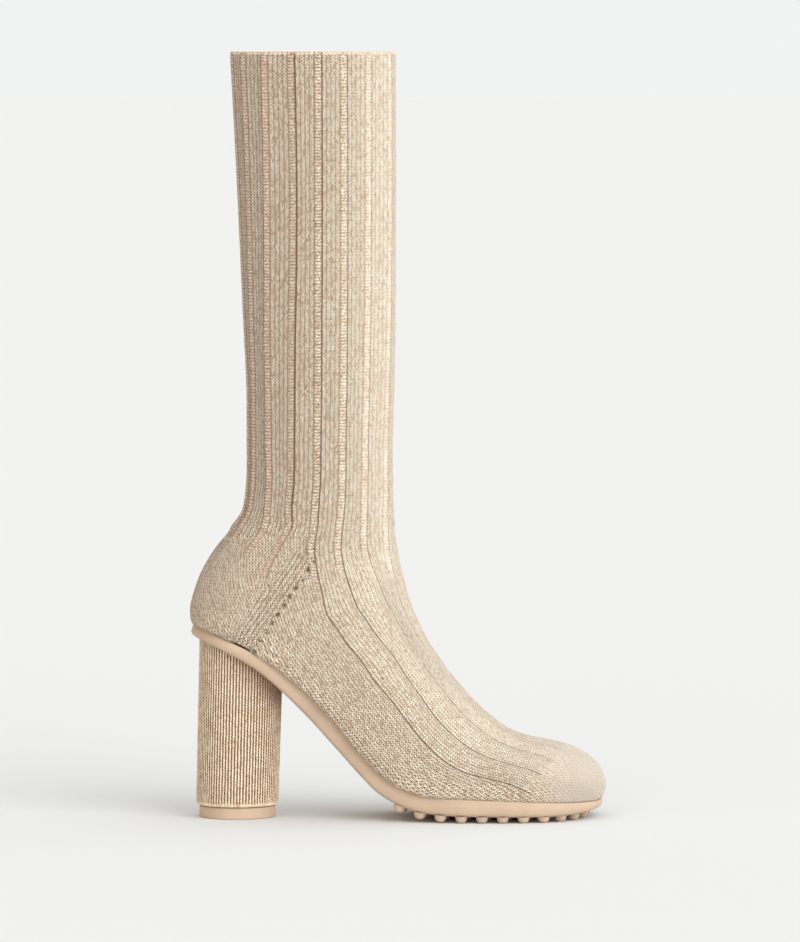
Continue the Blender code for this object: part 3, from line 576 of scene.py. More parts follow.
def band_places(points):
    """Distance aside from the gusset band's middle and along it, seen from the side."""
    foot = np.array([BAND_FOOT[0] * REACH, BAND_FOOT[1] * ANKLE_HEIGHT])
    head = np.array([BAND_HEAD[0] * REACH, BAND_HEAD[1] * ANKLE_HEIGHT])
    way = (head - foot) / np.linalg.norm(head - foot)
    place = points[..., [0, 2]] - foot
    along = place @ way
    aside = place @ np.array([-way[1], way[0]])
    return aside, along, np.linalg.norm(head - foot)


def foot_places(points):
    """Distance below the foot's own wale line and along it, seen from the side."""
    table = np.array(FOOT_LINE) * (REACH, ANKLE_HEIGHT)
    steps = np.arange(len(table))
    line = between(steps, table, np.linspace(0, len(table) - 1, 260))
    way = np.gradient(line, axis=0)
    length = np.linalg.norm(way, axis=1)
    way /= length[:, None]
    walked = np.concatenate([[0], np.cumsum(np.linalg.norm(np.diff(line, axis=0), axis=1))])
    flat = points[..., [0, 2]].reshape(-1, 2)
    near = np.argmin(((flat[:, None] - line[None]) ** 2).sum(axis=2), axis=1)
    off = flat - line[near]
    below = off[:, 0] * way[near, 1] - off[:, 1] * way[near, 0]
    along = walked[near] + (off * way[near]).sum(axis=1)
    shape = points.shape[:-1]
    return below.reshape(shape), along.reshape(shape)


def pocket_places(points):
    """How far round the heel each point lies, and how far down."""
    x, y, z = points[..., 0], np.abs(points[..., 1]), points[..., 2]
    turn = np.arctan2(y, np.maximum(POCKET_MIDDLE - x, 0))
    round_heel = turn * POCKET_ROUND + np.maximum(x - POCKET_MIDDLE, 0)
    lean = np.clip(POCKET_TOP - z, 0, 0.06)
    return round_heel - lean**2 / (2 * POCKET_LEAN), BOOT_HEIGHT - z


def grid_faces(rows, columns, first, flip):
    """Quads of a grid of vertices."""
    index = first + np.arange(rows * columns).reshape(rows, columns)
    corners = [index[:-1, :-1], index[:-1, 1:], index[1:, 1:], index[1:, :-1]]
    quads = np.stack(corners, axis=-1).reshape(-1, 4)
    return quads[:, ::-1] if flip else quads


def build_outer():
    """The outer face of the knit as one fine mesh with its knit coordinates."""
    wales = fine_wales()
    rows = row_list()
    verts, faces, maps, marks = [], [], {}, {}
    for side, _ in SIDES:
        grid = side_grid(side, rows, wales)
        points = grid["points"]
        t = rows[:, None] + wales[None, :] * 0
        aside, along, length = band_places(points)
        ended = 1 - smoothstep(along, length - 0.004, length + 0.002)
        in_band = (1 - smoothstep(np.abs(aside), BAND_WIDTH * 0.42, BAND_WIDTH * 0.52)) * ended
        below = smoothstep(BOOT_HEIGHT - points[..., 2], 0.3 * RIM_PLAIN, RIM_PLAIN)
        deep = grid["deep"] * below
        strip = np.minimum(deep / STRIP_FLOOR, 1)
        on_foot = smoothstep(t, 7, 10)
        lift = RIB_CROWN * grid["swell"] * below - STRIP_DEPTH * deep * (1 - in_band)
        lift = lift * (1 - (1 - FOOT_STRIP) * on_foot) + BAND_RAISE * in_band
        moved = points + grid_normals(points, side) * lift[..., None]
        up = points[..., 2] - sole_top(np.clip(points[..., 0], -SOLE_BACK, SOLE_FRONT))
        drawn = 0.55 * np.clip(up, 0, TUCK_FROM)
        moved[..., 2] -= drawn * (1 - smoothstep(up, TUCK_FROM, TUCK_FROM * 3.3))
        moved[:, 0, 1] = points[:, 0, 1]
        step = np.linalg.norm(np.diff(points, axis=0), axis=2)
        walked = np.vstack([np.zeros((1, len(wales))), np.cumsum(step, axis=0)])
        below_line, along_line = foot_places(points)
        pocket_u, pocket_v = pocket_places(points)
        for name, u, v in (
            ("Rib", wales[None, :] + walked * 0, walked / COURSE),
            ("Foot", below_line / FINE_WALE + 0.4, along_line / COURSE),
            ("Pocket", pocket_u / FINE_WALE, pocket_v / COURSE),
            ("Band", aside / WALE + 0.5, along / COURSE),
        ):
            pairs = np.stack([u, v], axis=-1).reshape(-1, 2) * MAP_SCALE
            maps.setdefault(name, []).append(pairs)
        lowest = CREASE_WALES[MOVABLE_FROM] + 2 - 1.95 * smoothstep(t, 9.5, 10.5)
        plain = smoothstep(wales[None, :], lowest, lowest + 0.2) * smoothstep(t, 6.0, 6.6)
        toe = smoothstep(t, GROOVE_ENDS[1] - 0.4, GROOVE_ENDS[1] + 1.2)
        pocket = smoothstep(t, POCKET_FROM - 0.5, POCKET_FROM + 0.5) * smoothstep(aside, 0, 0.001)
        in_pocket = smoothstep(t, 5.6, 6.4) * smoothstep(aside, 0, 0.002)
        ladder = (1 - 0.55 * on_foot) * (1 - 0.8 * in_pocket)
        ladder = ladder * (1 - on_foot * (1 - grid["near"]))
        notch = smoothstep(-aside, BAND_WIDTH * 0.44, BAND_WIDTH * 0.52)
        notch = notch * (1 - smoothstep(-aside, BAND_WIDTH * 0.56, BAND_WIDTH * 0.70)) * ended
        for name, values in (
            ("strip", strip),
            ("ladder", strip * ladder),
            ("smooth", strip * in_pocket),
            ("band", in_band),
            ("pocket", pocket * (1 - strip)),
            ("foot", np.maximum(plain, toe)),
            ("fine", smoothstep(t, 7.2, 8.6)),
            # crease and notch mark where shade is painted in the creases and the band's gaps
            ("crease", grid["crease"] * below * (1 - 0.6 * in_pocket)),
            ("notch", notch),
            # calm marks the toe, smoothed and given painted shade
            ("calm", smoothstep(points[..., 0] / REACH, 0.74, 0.93)),
        ):
            marks.setdefault(name, []).append(values.reshape(-1))
        first = sum(len(v) for v in verts)
        verts.append(moved.reshape(-1, 3))
        faces.append(grid_faces(len(rows), len(wales), first, side > 0))
    left = len(verts[0]) - len(wales) + np.arange(len(wales))
    right = left + len(verts[0])
    faces.append(np.stack([left[:-1], left[1:], right[1:], right[:-1]], axis=-1))
    maps, marks = ({key: np.concatenate(v) for key, v in item.items()} for item in (maps, marks))
    return mesh_object("knit_outer", np.vstack(verts), np.vstack(faces), maps, marks)


def build_lining():
    """The inner face of the knit."""
    leg = np.linspace(0, ANKLE_ROW, LINING_ROWS[0])
    rows = np.concatenate([leg, np.linspace(ANKLE_ROW, LAST_ROW - 0.02, LINING_ROWS[1])[1:]])
    shares = np.linspace(0, 1, LINING_COLUMNS + 1)
    verts, faces, maps = [], [], []
    for side, _ in SIDES:
        points = np.array([at_shares(opened(t, side, WALL), shares)[0] for t in rows])
        step = np.linalg.norm(np.diff(points, axis=0), axis=2)
        walked = np.vstack([np.zeros((1, len(shares))), np.cumsum(step, axis=0)])
        first = sum(len(v) for v in verts)
        verts.append(points.reshape(-1, 3))
        faces.append(grid_faces(len(rows), len(shares), first, side < 0))
        u = shares[None, :] * LAST_WALE + walked * 0
        maps.append(np.stack([u, walked / COURSE], axis=-1).reshape(-1, 2) * MAP_SCALE)
    return mesh_object("knit_lining", np.vstack(verts), np.vstack(faces), {"Rib": np.vstack(maps)})


def build_rim():
    """The bound-off edge that closes the knit at the collar, a chain of loops."""
    shares = np.linspace(0, 1, LAST_WALE * RIM_LOOP_STEPS + 1)
    lines = []
    for inset in (0.0, WALL):
        sides = [at_shares(half_section(0.0, side, inset), shares)[0] for side, _ in SIDES]
        lines.append(np.vstack([sides[0], sides[1][-2:0:-1]]))
    out = (lines[0] - lines[1]) * (1, 1, 0)
    out /= np.linalg.norm(out, axis=1, keepdims=True)
    middle = (lines[0] + lines[1]) / 2
    phase = np.arange(len(middle)) / RIM_LOOP_STEPS
    beat = np.abs(np.sin(np.pi * phase))
    radius = (WALL / 2) * (0.94 + 0.10 * beat)
    turn = np.linspace(-0.35 * np.pi, 1.35 * np.pi, RIM_AROUND)
    verts = middle[:, None] + out[:, None] * np.outer(radius, np.cos(turn) * 1.12)[..., None]
    verts[..., 2] += np.outer(radius, np.sin(turn) * 0.9) + (0.00008 * beat - RIM_SUNK)[:, None]
    u = phase[:, None] + turn * 0
    v = np.arange(RIM_AROUND) / RIM_AROUND * 2 + u * 0
    maps = np.stack([u, v], axis=-1).reshape(-1, 2) * MAP_SCALE
    index = np.arange(u.size).reshape(u.shape)
    after = np.roll(index, -1, axis=0)
    quads = np.stack([index[:, :-1], index[:, 1:], after[:, 1:], after[:, :-1]], axis=-1)
    return mesh_object("knit_rim", verts.reshape(-1, 3), quads.reshape(-1, 4), {"Rib": maps})


def mesh_object(name, verts, faces, maps=None, marks=None):
    """A smooth object from arrays, with its named maps and marks."""
    mesh = bpy.data.meshes.new(name)
    mesh.from_pydata(np.asarray(verts).tolist(), [], [tuple(int(i) for i in f) for f in faces])
    corner = np.zeros(len(mesh.loops), np.int32)
    mesh.loops.foreach_get("vertex_index", corner)
    for key, values in (maps or {}).items():
        layer = mesh.uv_layers.new(name=key)
        layer.uv.foreach_set("vector", values[corner].astype(np.float32).ravel())
    for key, values in (marks or {}).items():
        mark = mesh.attributes.new(key, "FLOAT", "POINT")
        mark.data.foreach_set("value", values.astype(np.float32))
    mesh.update()
    mesh.shade_smooth()
    obj = bpy.data.objects.new(name, mesh)
    bpy.context.scene.collection.objects.link(obj)
    return obj


# The sole, the heel and what is inside

SOLE_STATIONS = 170
BOARD_STATIONS = 80
BOARD_EASE = 0.0004
EDGE_STEPS = 12
STUD_SIDES = 22
LIFT_SIDES = 96
# Thin lip of the sole that holds the knit: inset and depth as shares of the thickness
LIP = ((0.42, 0.02), (0.26, -0.12), (0.13, -0.18), (0.05, -0.15), (0.01, -0.05))
# Smooth stud in section: share of its radius, of its height
STUD_DOME = (
    (1.30, -0.08),
    (1.16, 0.04),
    (1.09, 0.20),
    (1.04, 0.42),
    (0.95, 0.62),
    (0.80, 0.79),
    (0.60, 0.92),
    (0.34, 0.985),
    (0.0, 1.0),
)


def end_shares(count, crowding=1.0):
    """Shares along the sole that crowd into its round ends."""
    turn = np.linspace(0, np.pi, count + 1)
    even = np.linspace(0, 1, count + 1)
    return (1 - np.cos(turn)) / 2 * crowding + even * (1 - crowding)


def ring_faces(rings):
    """Faces between closed rings of vertex numbers."""
    faces = []
    for a, b in zip(rings, rings[1:]):
        for j in range(len(a)):
            k = (j + 1) % len(a)
            corners = list(dict.fromkeys([a[j], a[k], b[k], b[j]]))
            if len(corners) > 2:
                faces.append(corners)
    return faces


def slab_mesh(levels, shares):
    """Points and faces of a body in the sole's outline, pointed at its two ends."""
    points, rings = [], []
    for k, share in enumerate(shares):
        ring = {}
        for side in (-1, 1):
            if side > 0 and k in (0, len(shares) - 1):
                ring[side] = ring[-1]
                continue
            ring[side] = list(range(len(points), len(points) + len(levels)))
            for inset, place in levels:
                x, y = outline(share, side, inset)
                px, pz = place(float(x))
                points.append((px, float(y), float(pz)))
        rings.append(ring[-1] + ring[1][::-1])
    return points, ring_faces(rings)


def sole_level(down):
    """A function for the point a share of the thickness under the sole's top."""
    return lambda x: tuple(float(v) for v in under_sole(x, down))


def on_sole(lift):
    """A function for the point square above the sole by its gap and a lift."""

    def place(x):
        slope = float(sole_slope(x))
        square = lift / np.sqrt(1 + slope**2)
        return x - square * slope, float(seated(x)) + square

    return place


def stud_places():
    """Centres of the studs: one line along the edge, offset rows inside it."""
    start = float(sole_share(STUDS_FROM))
    shares = np.linspace(start, 1, 200)
    edge = [np.column_stack(outline(shares, side, STUD_EDGE)) for side in (-1, 1)]
    line = np.vstack([edge[0], edge[1][-2::-1]])
    front = SOLE_FRONT - STUD_EDGE
    line[:, 0] -= STUDS_SHORT * smoothstep(line[:, 0], front - STUDS_TURN, front)
    flat = np.column_stack([line, np.zeros(len(line))])
    count = int(round(at_shares(flat, [0.0])[1] / STUD_PITCH))
    places = [tuple(p[:2]) for p in at_shares(flat, np.linspace(0, 1, count + 1))[0]]
    inner = STUD_EDGE + STUD_PITCH * 0.72
    reach = SOLE_FRONT - STUDS_SHORT - inner - STUD_PITCH * 0.25 - STUDS_FROM
    rows = int(reach / STUD_PITCH * 1.1)
    for row in range(rows + 1):
        x = STUDS_FROM + STUD_PITCH * 0.15 + row * reach / rows
        low = float(outline_at(x, -1, inner))
        high = float(outline_at(x, 1, inner))
        across = max(int((high - low) / STUD_PITCH + 0.35), 0)
        for k in range(across + 1):
            places.append((x, low + (high - low) * (k + 0.5) / (across + 1)))
    return places


def build_studs():
    """Round studs under the forefoot, one mesh."""
    points, faces = [], []
    radius = STUD_DIAMETER / 2
    angles = np.linspace(0, 2 * np.pi, STUD_SIDES, endpoint=False)
    for x, y in stud_places():
        under = float(sole_bottom(x))
        slope = float(sole_bottom(x + SLOPE_STEP) - sole_bottom(x - SLOPE_STEP)) / (2 * SLOPE_STEP)
        down = np.array([slope, 0.0, -1.0]) / np.hypot(slope, 1)
        along = np.array([-down[2], 0.0, down[0]])
        across = np.array([0.0, 1.0, 0.0])
        middle = np.array([x, y, under])
        height_left = max(min(STUD_HEIGHT, -under / down[2]), STUD_HEIGHT * 0.5)
        loops = []
        for wide, deep in STUD_DOME:
            loops.append(list(range(len(points), len(points) + STUD_SIDES)))
            for angle in angles:
                ring = along * np.cos(angle) + across * np.sin(angle)
                reach = height_left * deep if deep > 0 else STUD_HEIGHT * deep
                points.append(middle + ring * radius * wide + down * reach)
        faces += ring_faces(loops)
    return mesh_object("studs", points, faces)


def build_sole():
    """The moulded band of the sole with its rounded edge."""
    downs = np.linspace(0, 1, EDGE_STEPS)[1:]
    table = np.array(SOLE_EDGE)
    insets = between(table[:, 0], table[:, 1], downs)
    edge = list(LIP) + list(zip(insets, downs))
    levels = [(float(i) * SOLE_THICKNESS, sole_level(float(d))) for i, d in edge]
    points, faces = slab_mesh(levels, end_shares(SOLE_STATIONS, 0.5))
    sole = mesh_object("sole_band", points, faces)
    sole.data.set_sharp_from_angle(angle=math.radians(50))
    return sole


def build_board():
    """The covered board under the foot."""
    inset = LASTING_MARGIN + 2.5 * GAP
    levels = [(inset + BOARD_EASE, on_sole(INSOLE_THICKNESS))]
    levels += [(inset, on_sole(INSOLE_THICKNESS * share)) for share in (0.7, 0.0)]
    points, faces = slab_mesh(levels, end_shares(BOARD_STATIONS))
    board = mesh_object("board", points, faces)
    board.data.set_sharp_from_angle(angle=math.radians(40))
    return board


HEEL_WALES = 84
HEEL_WALE_STEPS = 6
HEEL_COURSE = 0.00155
HEEL_CORD = 0.0005  # relief of its cords
HEEL_HEM = 0.0024
HEEL_RINGS = 45
# The lower edge's rings: outward and up, as shares of its ease
HEEL_EDGE = ((-1.6, 0.0), (-1.0, 0.0), (-0.3, 0.3), (0.0, 1.0))
HEEL_SHADE = 0.020  # below the sole band the cover is darker over this height


def build_heel_cover():
    """The knit over the heel, in upright cords."""
    count = HEEL_WALES * HEEL_WALE_STEPS
    angles = np.linspace(0, 2 * np.pi, count, endpoint=False)
    cords = np.arange(count) / HEEL_WALE_STEPS
    sunk = HEEL_CORD * (1 - np.abs(np.sin(np.pi * cords)) ** 0.7)
    radius = HEEL_DIAMETER / 2
    bottom = LIFT_HEIGHT + GAP
    top = np.array([float(sole_bottom(HEEL_LEAN + radius * np.cos(a))) - GAP for a in angles])
    rings = [
        (0.0, radius + out * HEEL_EASE + angles * 0, bottom + up * HEEL_EASE + angles * 0)
        for out, up in HEEL_EDGE
    ]
    for share in np.linspace(0, 1, HEEL_RINGS + 1)[1:]:
        plain = smoothstep(share * 0.085, HEEL_HEM * 0.3, HEEL_HEM)
        level = bottom + HEEL_EASE + (top - bottom - HEEL_EASE) * share
        rings.append((HEEL_LEAN * share, radius - sunk * plain, level))
    verts, maps, shades = [], [], []
    for x, out, level in rings:
        verts.append(np.column_stack([x + out * np.cos(angles), out * np.sin(angles), level]))
        maps.append(np.column_stack([cords, level / HEEL_COURSE]) * MAP_SCALE)
        near = 1 - smoothstep(top - level, 0.0, HEEL_SHADE)
        shades.append(near * smoothstep(np.cos(angles), -0.5, 0.7))
    faces = ring_faces(np.arange(len(rings) * count).reshape(-1, count).tolist())
    marks = {"shade": np.concatenate(shades)}
    cover = mesh_object("heel_cover", np.vstack(verts), faces, {"Cord": np.vstack(maps)}, marks)
    layer = cover.data.uv_layers["Cord"]
    values = np.zeros(len(cover.data.loops) * 2, np.float32)
    layer.uv.foreach_get("vector", values)
    values = values.reshape(-1, 4, 2)
    half = HEEL_WALES * MAP_SCALE / 2
    wrap = values[:, :, 0].max(axis=1) - values[:, :, 0].min(axis=1) > half
    values[:, :, 0] += np.where(wrap[:, None] & (values[:, :, 0] < half), half * 2, 0)
    layer.uv.foreach_set("vector", values.ravel())
    return cover


def build_lift():
    """The rubber piece on the ground, with its edges eased."""
    flat = LIFT_DIAMETER / 2 - LIFT_EASE
    arc = np.linspace(0, np.pi / 2, 5)
    profile = [(0.0, 0.0), (flat, 0.0)]
    for turn in arc[1:]:
        profile.append((flat + LIFT_EASE * np.sin(turn), LIFT_EASE * (1 - np.cos(turn))))
    for turn in arc:
        up = LIFT_HEIGHT - LIFT_EASE * (1 - np.sin(turn))
        profile.append((flat + LIFT_EASE * np.cos(turn), up))
    points, loops = [], []
    for out, level in profile:
        loops.append(list(range(len(points), len(points) + LIFT_SIDES)))
        for angle in np.linspace(0, 2 * np.pi, LIFT_SIDES, endpoint=False):
            points.append((out * np.cos(angle), out * np.sin(angle), level))
    loops.append([len(points)] * LIFT_SIDES)
    points.append((0.0, 0.0, LIFT_HEIGHT))
    return mesh_object("lift", points, ring_faces(loops))


# Materials


class Value:
    """A node's output, which can be added, subtracted and multiplied."""

    def __init__(self, nodes, socket):
        self.nodes, self.socket = nodes, socket

    def __add__(self, other):
        return self.nodes.math("ADD", self, other)

    def __sub__(self, other):
        return self.nodes.math("SUBTRACT", self, other)

    def __rsub__(self, other):
        return self.nodes.math("SUBTRACT", other, self)

    def __mul__(self, other):
        return self.nodes.math("MULTIPLY", self, other)


class Nodes:
    """Short names for the nodes of one material or world."""

    def __init__(self, owner):
        owner.use_nodes = True
        self.owner = owner
        self.tree = owner.node_tree
        self.tree.nodes.clear()

    def node(self, kind, **settings):
        made = self.tree.nodes.new("ShaderNode" + kind)
        for key, value in settings.items():
            setattr(made, key, value)
        return made

    def put(self, socket, value):
        if isinstance(value, Value):
            self.tree.links.new(value.socket, socket)
        else:
            socket.default_value = value

    def made(self, kind, inputs, output=0, **settings):
        """The output of a new node whose inputs are set or linked."""
        node = self.node(kind, **settings)
        for key, value in inputs.items():
            self.put(node.inputs[key], value)
        return Value(self, node.outputs[output])

    def math(self, operation, a, b=0.0):
        return self.made("Math", {0: a, 1: b}, operation=operation)

    def step(self, value, low, high, out_low=0.0, out_high=1.0):
        keys = ("Value", "From Min", "From Max", "To Min", "To Max")
        inputs = dict(zip(keys, (value, low, high, out_low, out_high)))
        return self.made("MapRange", inputs, "Result", interpolation_type="SMOOTHSTEP")

    def mix(self, share, a, b):
        return self.made("Mix", {0: share, 2: a, 3: b}, data_type="FLOAT")

    def tint(self, share, a, b, blend="MIX"):
        inputs = {0: share, 6: a, 7: b}
        return self.made("Mix", inputs, 2, data_type="RGBA", blend_type=blend)

    def mark(self, name):
        return self.made("Attribute", {}, "Fac", attribute_name=name)

    def parts(self, vector):
        node = self.node("SeparateXYZ")
        self.put(node.inputs[0], vector)
        return Value(self, node.outputs[0]), Value(self, node.outputs[1])

    def map(self, name):
        u, v = self.parts(self.made("UVMap", {}, uv_map=name))
        return u * (1 / MAP_SCALE), v * (1 / MAP_SCALE)

    def noise(self, vector, scale, detail=2.0, rough=0.5):
        inputs = {"Vector": vector, "Scale": scale, "Detail": detail, "Roughness": rough}
        return self.made("TexNoise", inputs, "Fac", noise_dimensions="3D")

    def vector(self, x, y, z=0.0):
        return self.made("CombineXYZ", {0: x, 1: y, 2: z})

    def white(self, vector):
        return self.made("TexWhiteNoise", {"Vector": vector}, "Value", noise_dimensions="3D")

    def place(self):
        return self.made("TexCoord", {}, "Object")

    def bump(self, height, distance, strength=1.0, normal=None):
        inputs = {"Height": height, "Distance": distance, "Strength": strength}
        if normal:
            inputs["Normal"] = normal
        return self.made("Bump", inputs)


def material(name):
    """The nodes of a new material."""
    return Nodes(bpy.data.materials.new(name))


def finish(n, colour, rough, normal, specular=0.5, **sheen):
    """The material of some nodes, with its surface."""
    inputs = {"Base Color": colour, "Roughness": rough, "Specular IOR Level": specular}
    for key, value in sheen.items():
        inputs[key.replace("_", " ")] = value
    if normal:
        inputs["Normal"] = normal
    surface = n.made("BsdfPrincipled", inputs)
    n.put(n.node("OutputMaterial").inputs["Surface"], surface)
    return n.owner


def from_middle(n, u):
    """0 in the middle of each wale, 1 at its sides."""
    return n.math("ABSOLUTE", n.math("FRACT", u) - 0.5) * 2.0


def from_ends(n, v):
    """1 in the middle of each course, falling round to 0 at its ends."""
    ridge = n.math("FRACT", v) * 2.0 - 1.0
    return 1.0 - ridge * ridge


def stitches(n, u, v, slant=1.1, round_yarn=0.65):
    """Height and a random tint of V stitches at wale u and course v."""
    a = from_middle(n, u)
    w = v + a * slant
    yarn = from_ends(n, w)
    open_side = 1.0 - yarn * 0.5
    edge = 1.0 - n.math("POWER", a, 2.6) * open_side
    middle = 1.0 - n.math("POWER", 1.0 - a, 3.0) * open_side * 0.4
    height = edge * middle * (yarn * round_yarn + (1 - round_yarn))
    leg = n.math("GREATER_THAN", n.math("FRACT", u), 0.5)
    return height, n.white(n.vector(n.math("FLOOR", u), n.math("FLOOR", w), leg))


def purl_loops(n, u, v, low):
    """Height of the purl loops of a strip at wale u and course v, never under low."""
    a = from_middle(n, u * 0.5)
    ends = 1.0 - n.math("POWER", a, 3.0) * 0.6
    return (1.0 - (1.0 - low) * (1.0 - from_ends(n, v + a * 0.3))) * ends


def cord_loops(n, u, v):
    """Height and a random tint of upright cords with dotted gaps between them."""
    dots = from_ends(n, v + n.math("FLOOR", u) * 0.37)
    gap = n.step(from_middle(n, u), 0.3, 0.8) * (dots * 0.7 + 0.3)
    return 1.0 - gap, n.white(n.vector(n.math("FLOOR", u), n.math("FLOOR", v)))


YARN_LIGHT = (1.0, 0.90, 0.74, 1)
YARN_MID = (0.87, 0.69, 0.50, 1)
YARN_DARK = (0.42, 0.25, 0.15, 1)
YARN_EVEN_AND_SHADE = (0.46, 0.39, 0.32, 1)  # where the stitches are too fine to tell apart, darkened as painted shade on the toe, which faces the light
GAP_SHADE = (0.15, 0.066, 0.03, 1)
STRIP_TINT = (0.60, 0.41, 0.31, 1)
HEEL_TINT = (0.86, 0.79, 0.71, 1)
HEEL_SHADOW = (0.26, 0.125, 0.085, 1)
RUBBER_TAN = (0.58, 0.425, 0.305, 1)
BOARD_TAN = (0.60, 0.46, 0.32, 1)
GAP_SHADE_STRENGTH = 0.88  # how dark the painted shade in the gaps between stitches is


def darker(colour, share):
    """A colour times a share, opaque."""
    return tuple(c * share for c in colour[:3]) + (1,)


def yarn_colour(n, place, tint, height, gaps=GAP_SHADE_STRENGTH):
    """Marled yarn, with painted shade in the gaps between stitches."""
    flecks = n.noise(place, 900.0, 2.0, 0.6)
    cloud = n.noise(place, 140.0, 3.0, 0.6) - 0.5
    marl = tint * 0.6 + flecks * 0.4 + cloud * 0.5
    colour = n.tint(n.step(marl, 0.2, 0.75), YARN_MID, YARN_LIGHT)
    dark = n.step(n.noise(place, 560.0, 2.0, 0.7), 0.55, 0.70, 0.0, 0.6)
    colour = n.tint(dark, colour, YARN_DARK)
    return n.tint(n.step(height, 0.24, 0.70, 1.0, 0.0) * gaps, colour, GAP_SHADE)


def wool(n, place, colour, height, relief=0.0009, strength=0.8):
    """Matt yarn with the relief of its stitches and a fine fuzz."""
    fuzz = n.bump(n.noise(place, 2600.0, 2.0, 0.7), 0.00025, 0.5)
    normal = n.bump(height, relief, strength, fuzz)
    return finish(n, colour, 0.95, normal, 0.15, Sheen_Weight=0.2, Sheen_Roughness=0.6)


def knit_material():
    """Marled wool with V stitches, purl strips, the band and the heel pocket."""
    n = material("wool_knit")
    place = n.place()
    u, v = n.map("Rib")
    foot_u, foot_v = n.map("Foot")
    pocket_u, pocket_v = n.map("Pocket")
    band_u, band_v = n.map("Band")
    v = v + (n.noise(place, 260.0) - 0.5) * 0.5
    wander = (n.noise(place, 300.0) - 0.5) * 0.6
    in_band = n.step(n.mark("band"), 0.4, 0.6)
    off_band = 1.0 - in_band
    in_strip = n.step(n.mark("strip"), 0.3, 0.5)

    # Stitches, each kind over the ones before it
    fine_u = u * n.mix(in_strip, 1.5, 1.0)
    height, tint = stitches(n, u, v)
    for mark, kind in (
        ("fine", stitches(n, fine_u, v * 1.15, 0.9, 0.5)),
        ("foot", stitches(n, foot_u + wander * 0.5, foot_v, 0.9, 0.52)),
        ("pocket", stitches(n, pocket_u + wander * 0.4, pocket_v, 1.0, 0.5)),
    ):
        here = n.step(n.mark(mark), 0.35, 0.65)
        height, tint = n.mix(here, height, kind[0]), n.mix(here, tint, kind[1])
    low = n.step(u, 6.0, 36.0, 0.35, 0.15) + (n.noise(place, 420.0) - 0.5) * 0.9
    uneven = (n.noise(place, 800.0, 1.0, 0.5) - 0.5) * 1.3
    loops = purl_loops(n, u, v + wander * 0.7 + uneven, low)
    smooth = n.step(n.mark("smooth"), 0.2, 0.9) * off_band
    height = n.mix(smooth * 0.75, height, loops * 0.66)
    ladder = n.step(n.mark("ladder"), 0.05, 0.85) * off_band
    height = n.mix(ladder * 0.8, height, loops * 0.8)
    band_height, band_tint = stitches(n, band_u, band_v + wander)
    height, tint = n.mix(in_band, height, band_height), n.mix(in_band, tint, band_tint)

    # Colour: marled yarn with painted shade that deepens toward the back, even and painted darker
    # at the toe, warmer in the strips
    # The gap shade and the marl's random dark legs and specks are painted stronger toward the back,
    # as painted shade on the side turned away from the light
    gaps = n.step(u, 3.0, 30.0, GAP_SHADE_STRENGTH * 0.5, 1.0)
    colour = yarn_colour(n, place, tint, height - n.step(u, 8.0, 34.0, 0.0, 0.05), gaps)
    dark = n.step(tint, 0.0, 0.4, 1.0, 0.0) * n.step(u, 10.0, 30.0, 0.1, 0.48)
    colour = n.tint(dark, colour, YARN_DARK)
    pepper = n.step(n.noise(place, 1100.0, 1.0, 0.5), 0.50, 0.60)
    colour = n.tint(pepper * n.step(u, 8.0, 30.0, 0.06, 0.5), colour, YARN_DARK)
    # At the toe the stitches are smoothed and the colour is painted darker, as painted shade
    # against the light it faces
    calm = n.mark("calm")
    colour = n.tint(calm * 0.85, colour, YARN_EVEN_AND_SHADE)
    height = n.mix(calm * 0.8, height, 0.75)
    fixed = CREASE_WALES[MOVABLE_FROM]
    strip = n.step(n.mark("strip"), 0.35, 0.75) * off_band
    back = n.step(u, fixed + 3.0, fixed + 9.0, 0.16, 0.42)
    colour = n.tint((strip + smooth * 0.15) * back, colour, STRIP_TINT)

    # Painted shade in the creases beside the strips and in the gaps along the band
    broken = n.step(n.noise(place, 700.0) + height * 0.3, 0.45, 0.80, 1.0, 0.7)
    crease = n.step(n.mark("crease"), 0.2, 0.9) * off_band * broken
    beat = n.math("FRACT", band_v * (COURSE / NOTCH_PITCH) + wander * 0.3)
    gap = n.step(beat, 0.0, 0.15) * n.step(beat, 0.35, 0.55, 1.0, 0.0)
    line = n.math("MAXIMUM", crease, n.step(n.mark("notch"), 0.2, 0.8) * gap) * 0.9
    return wool(n, place, n.tint(line, colour, GAP_SHADE), height - line, 0.0011, 1.0)


def plain_knit_material(name, gaps=GAP_SHADE_STRENGTH):
    """The same yarn in plain stitches, for the lining and the rim."""
    n = material(name)
    place = n.place()
    height, tint = stitches(n, *n.map("Rib"))
    return wool(n, place, yarn_colour(n, place, tint, height, gaps), height)


def heel_material():
    """The same yarn in upright cords, darker and redder under the sole band."""
    n = material("heel_cords")
    u, v = n.map("Cord")
    place = n.place()
    wander = n.noise(place, 240.0) - 0.5
    height, tint = cord_loops(n, u + wander * 0.35, v + wander)
    low = (LIFT_HEIGHT + GAP) / HEEL_COURSE
    hem = HEEL_HEM / HEEL_COURSE
    height = n.mix(n.step(v, low + hem * 0.5, low + hem, 0.85, 0.0), height, 0.8)
    colour = n.tint(0.9, yarn_colour(n, place, tint, height, 1.0), HEEL_TINT, "MULTIPLY")
    colour = n.tint(n.mark("shade") * 0.55, colour, HEEL_SHADOW)
    return wool(n, place, colour, height)


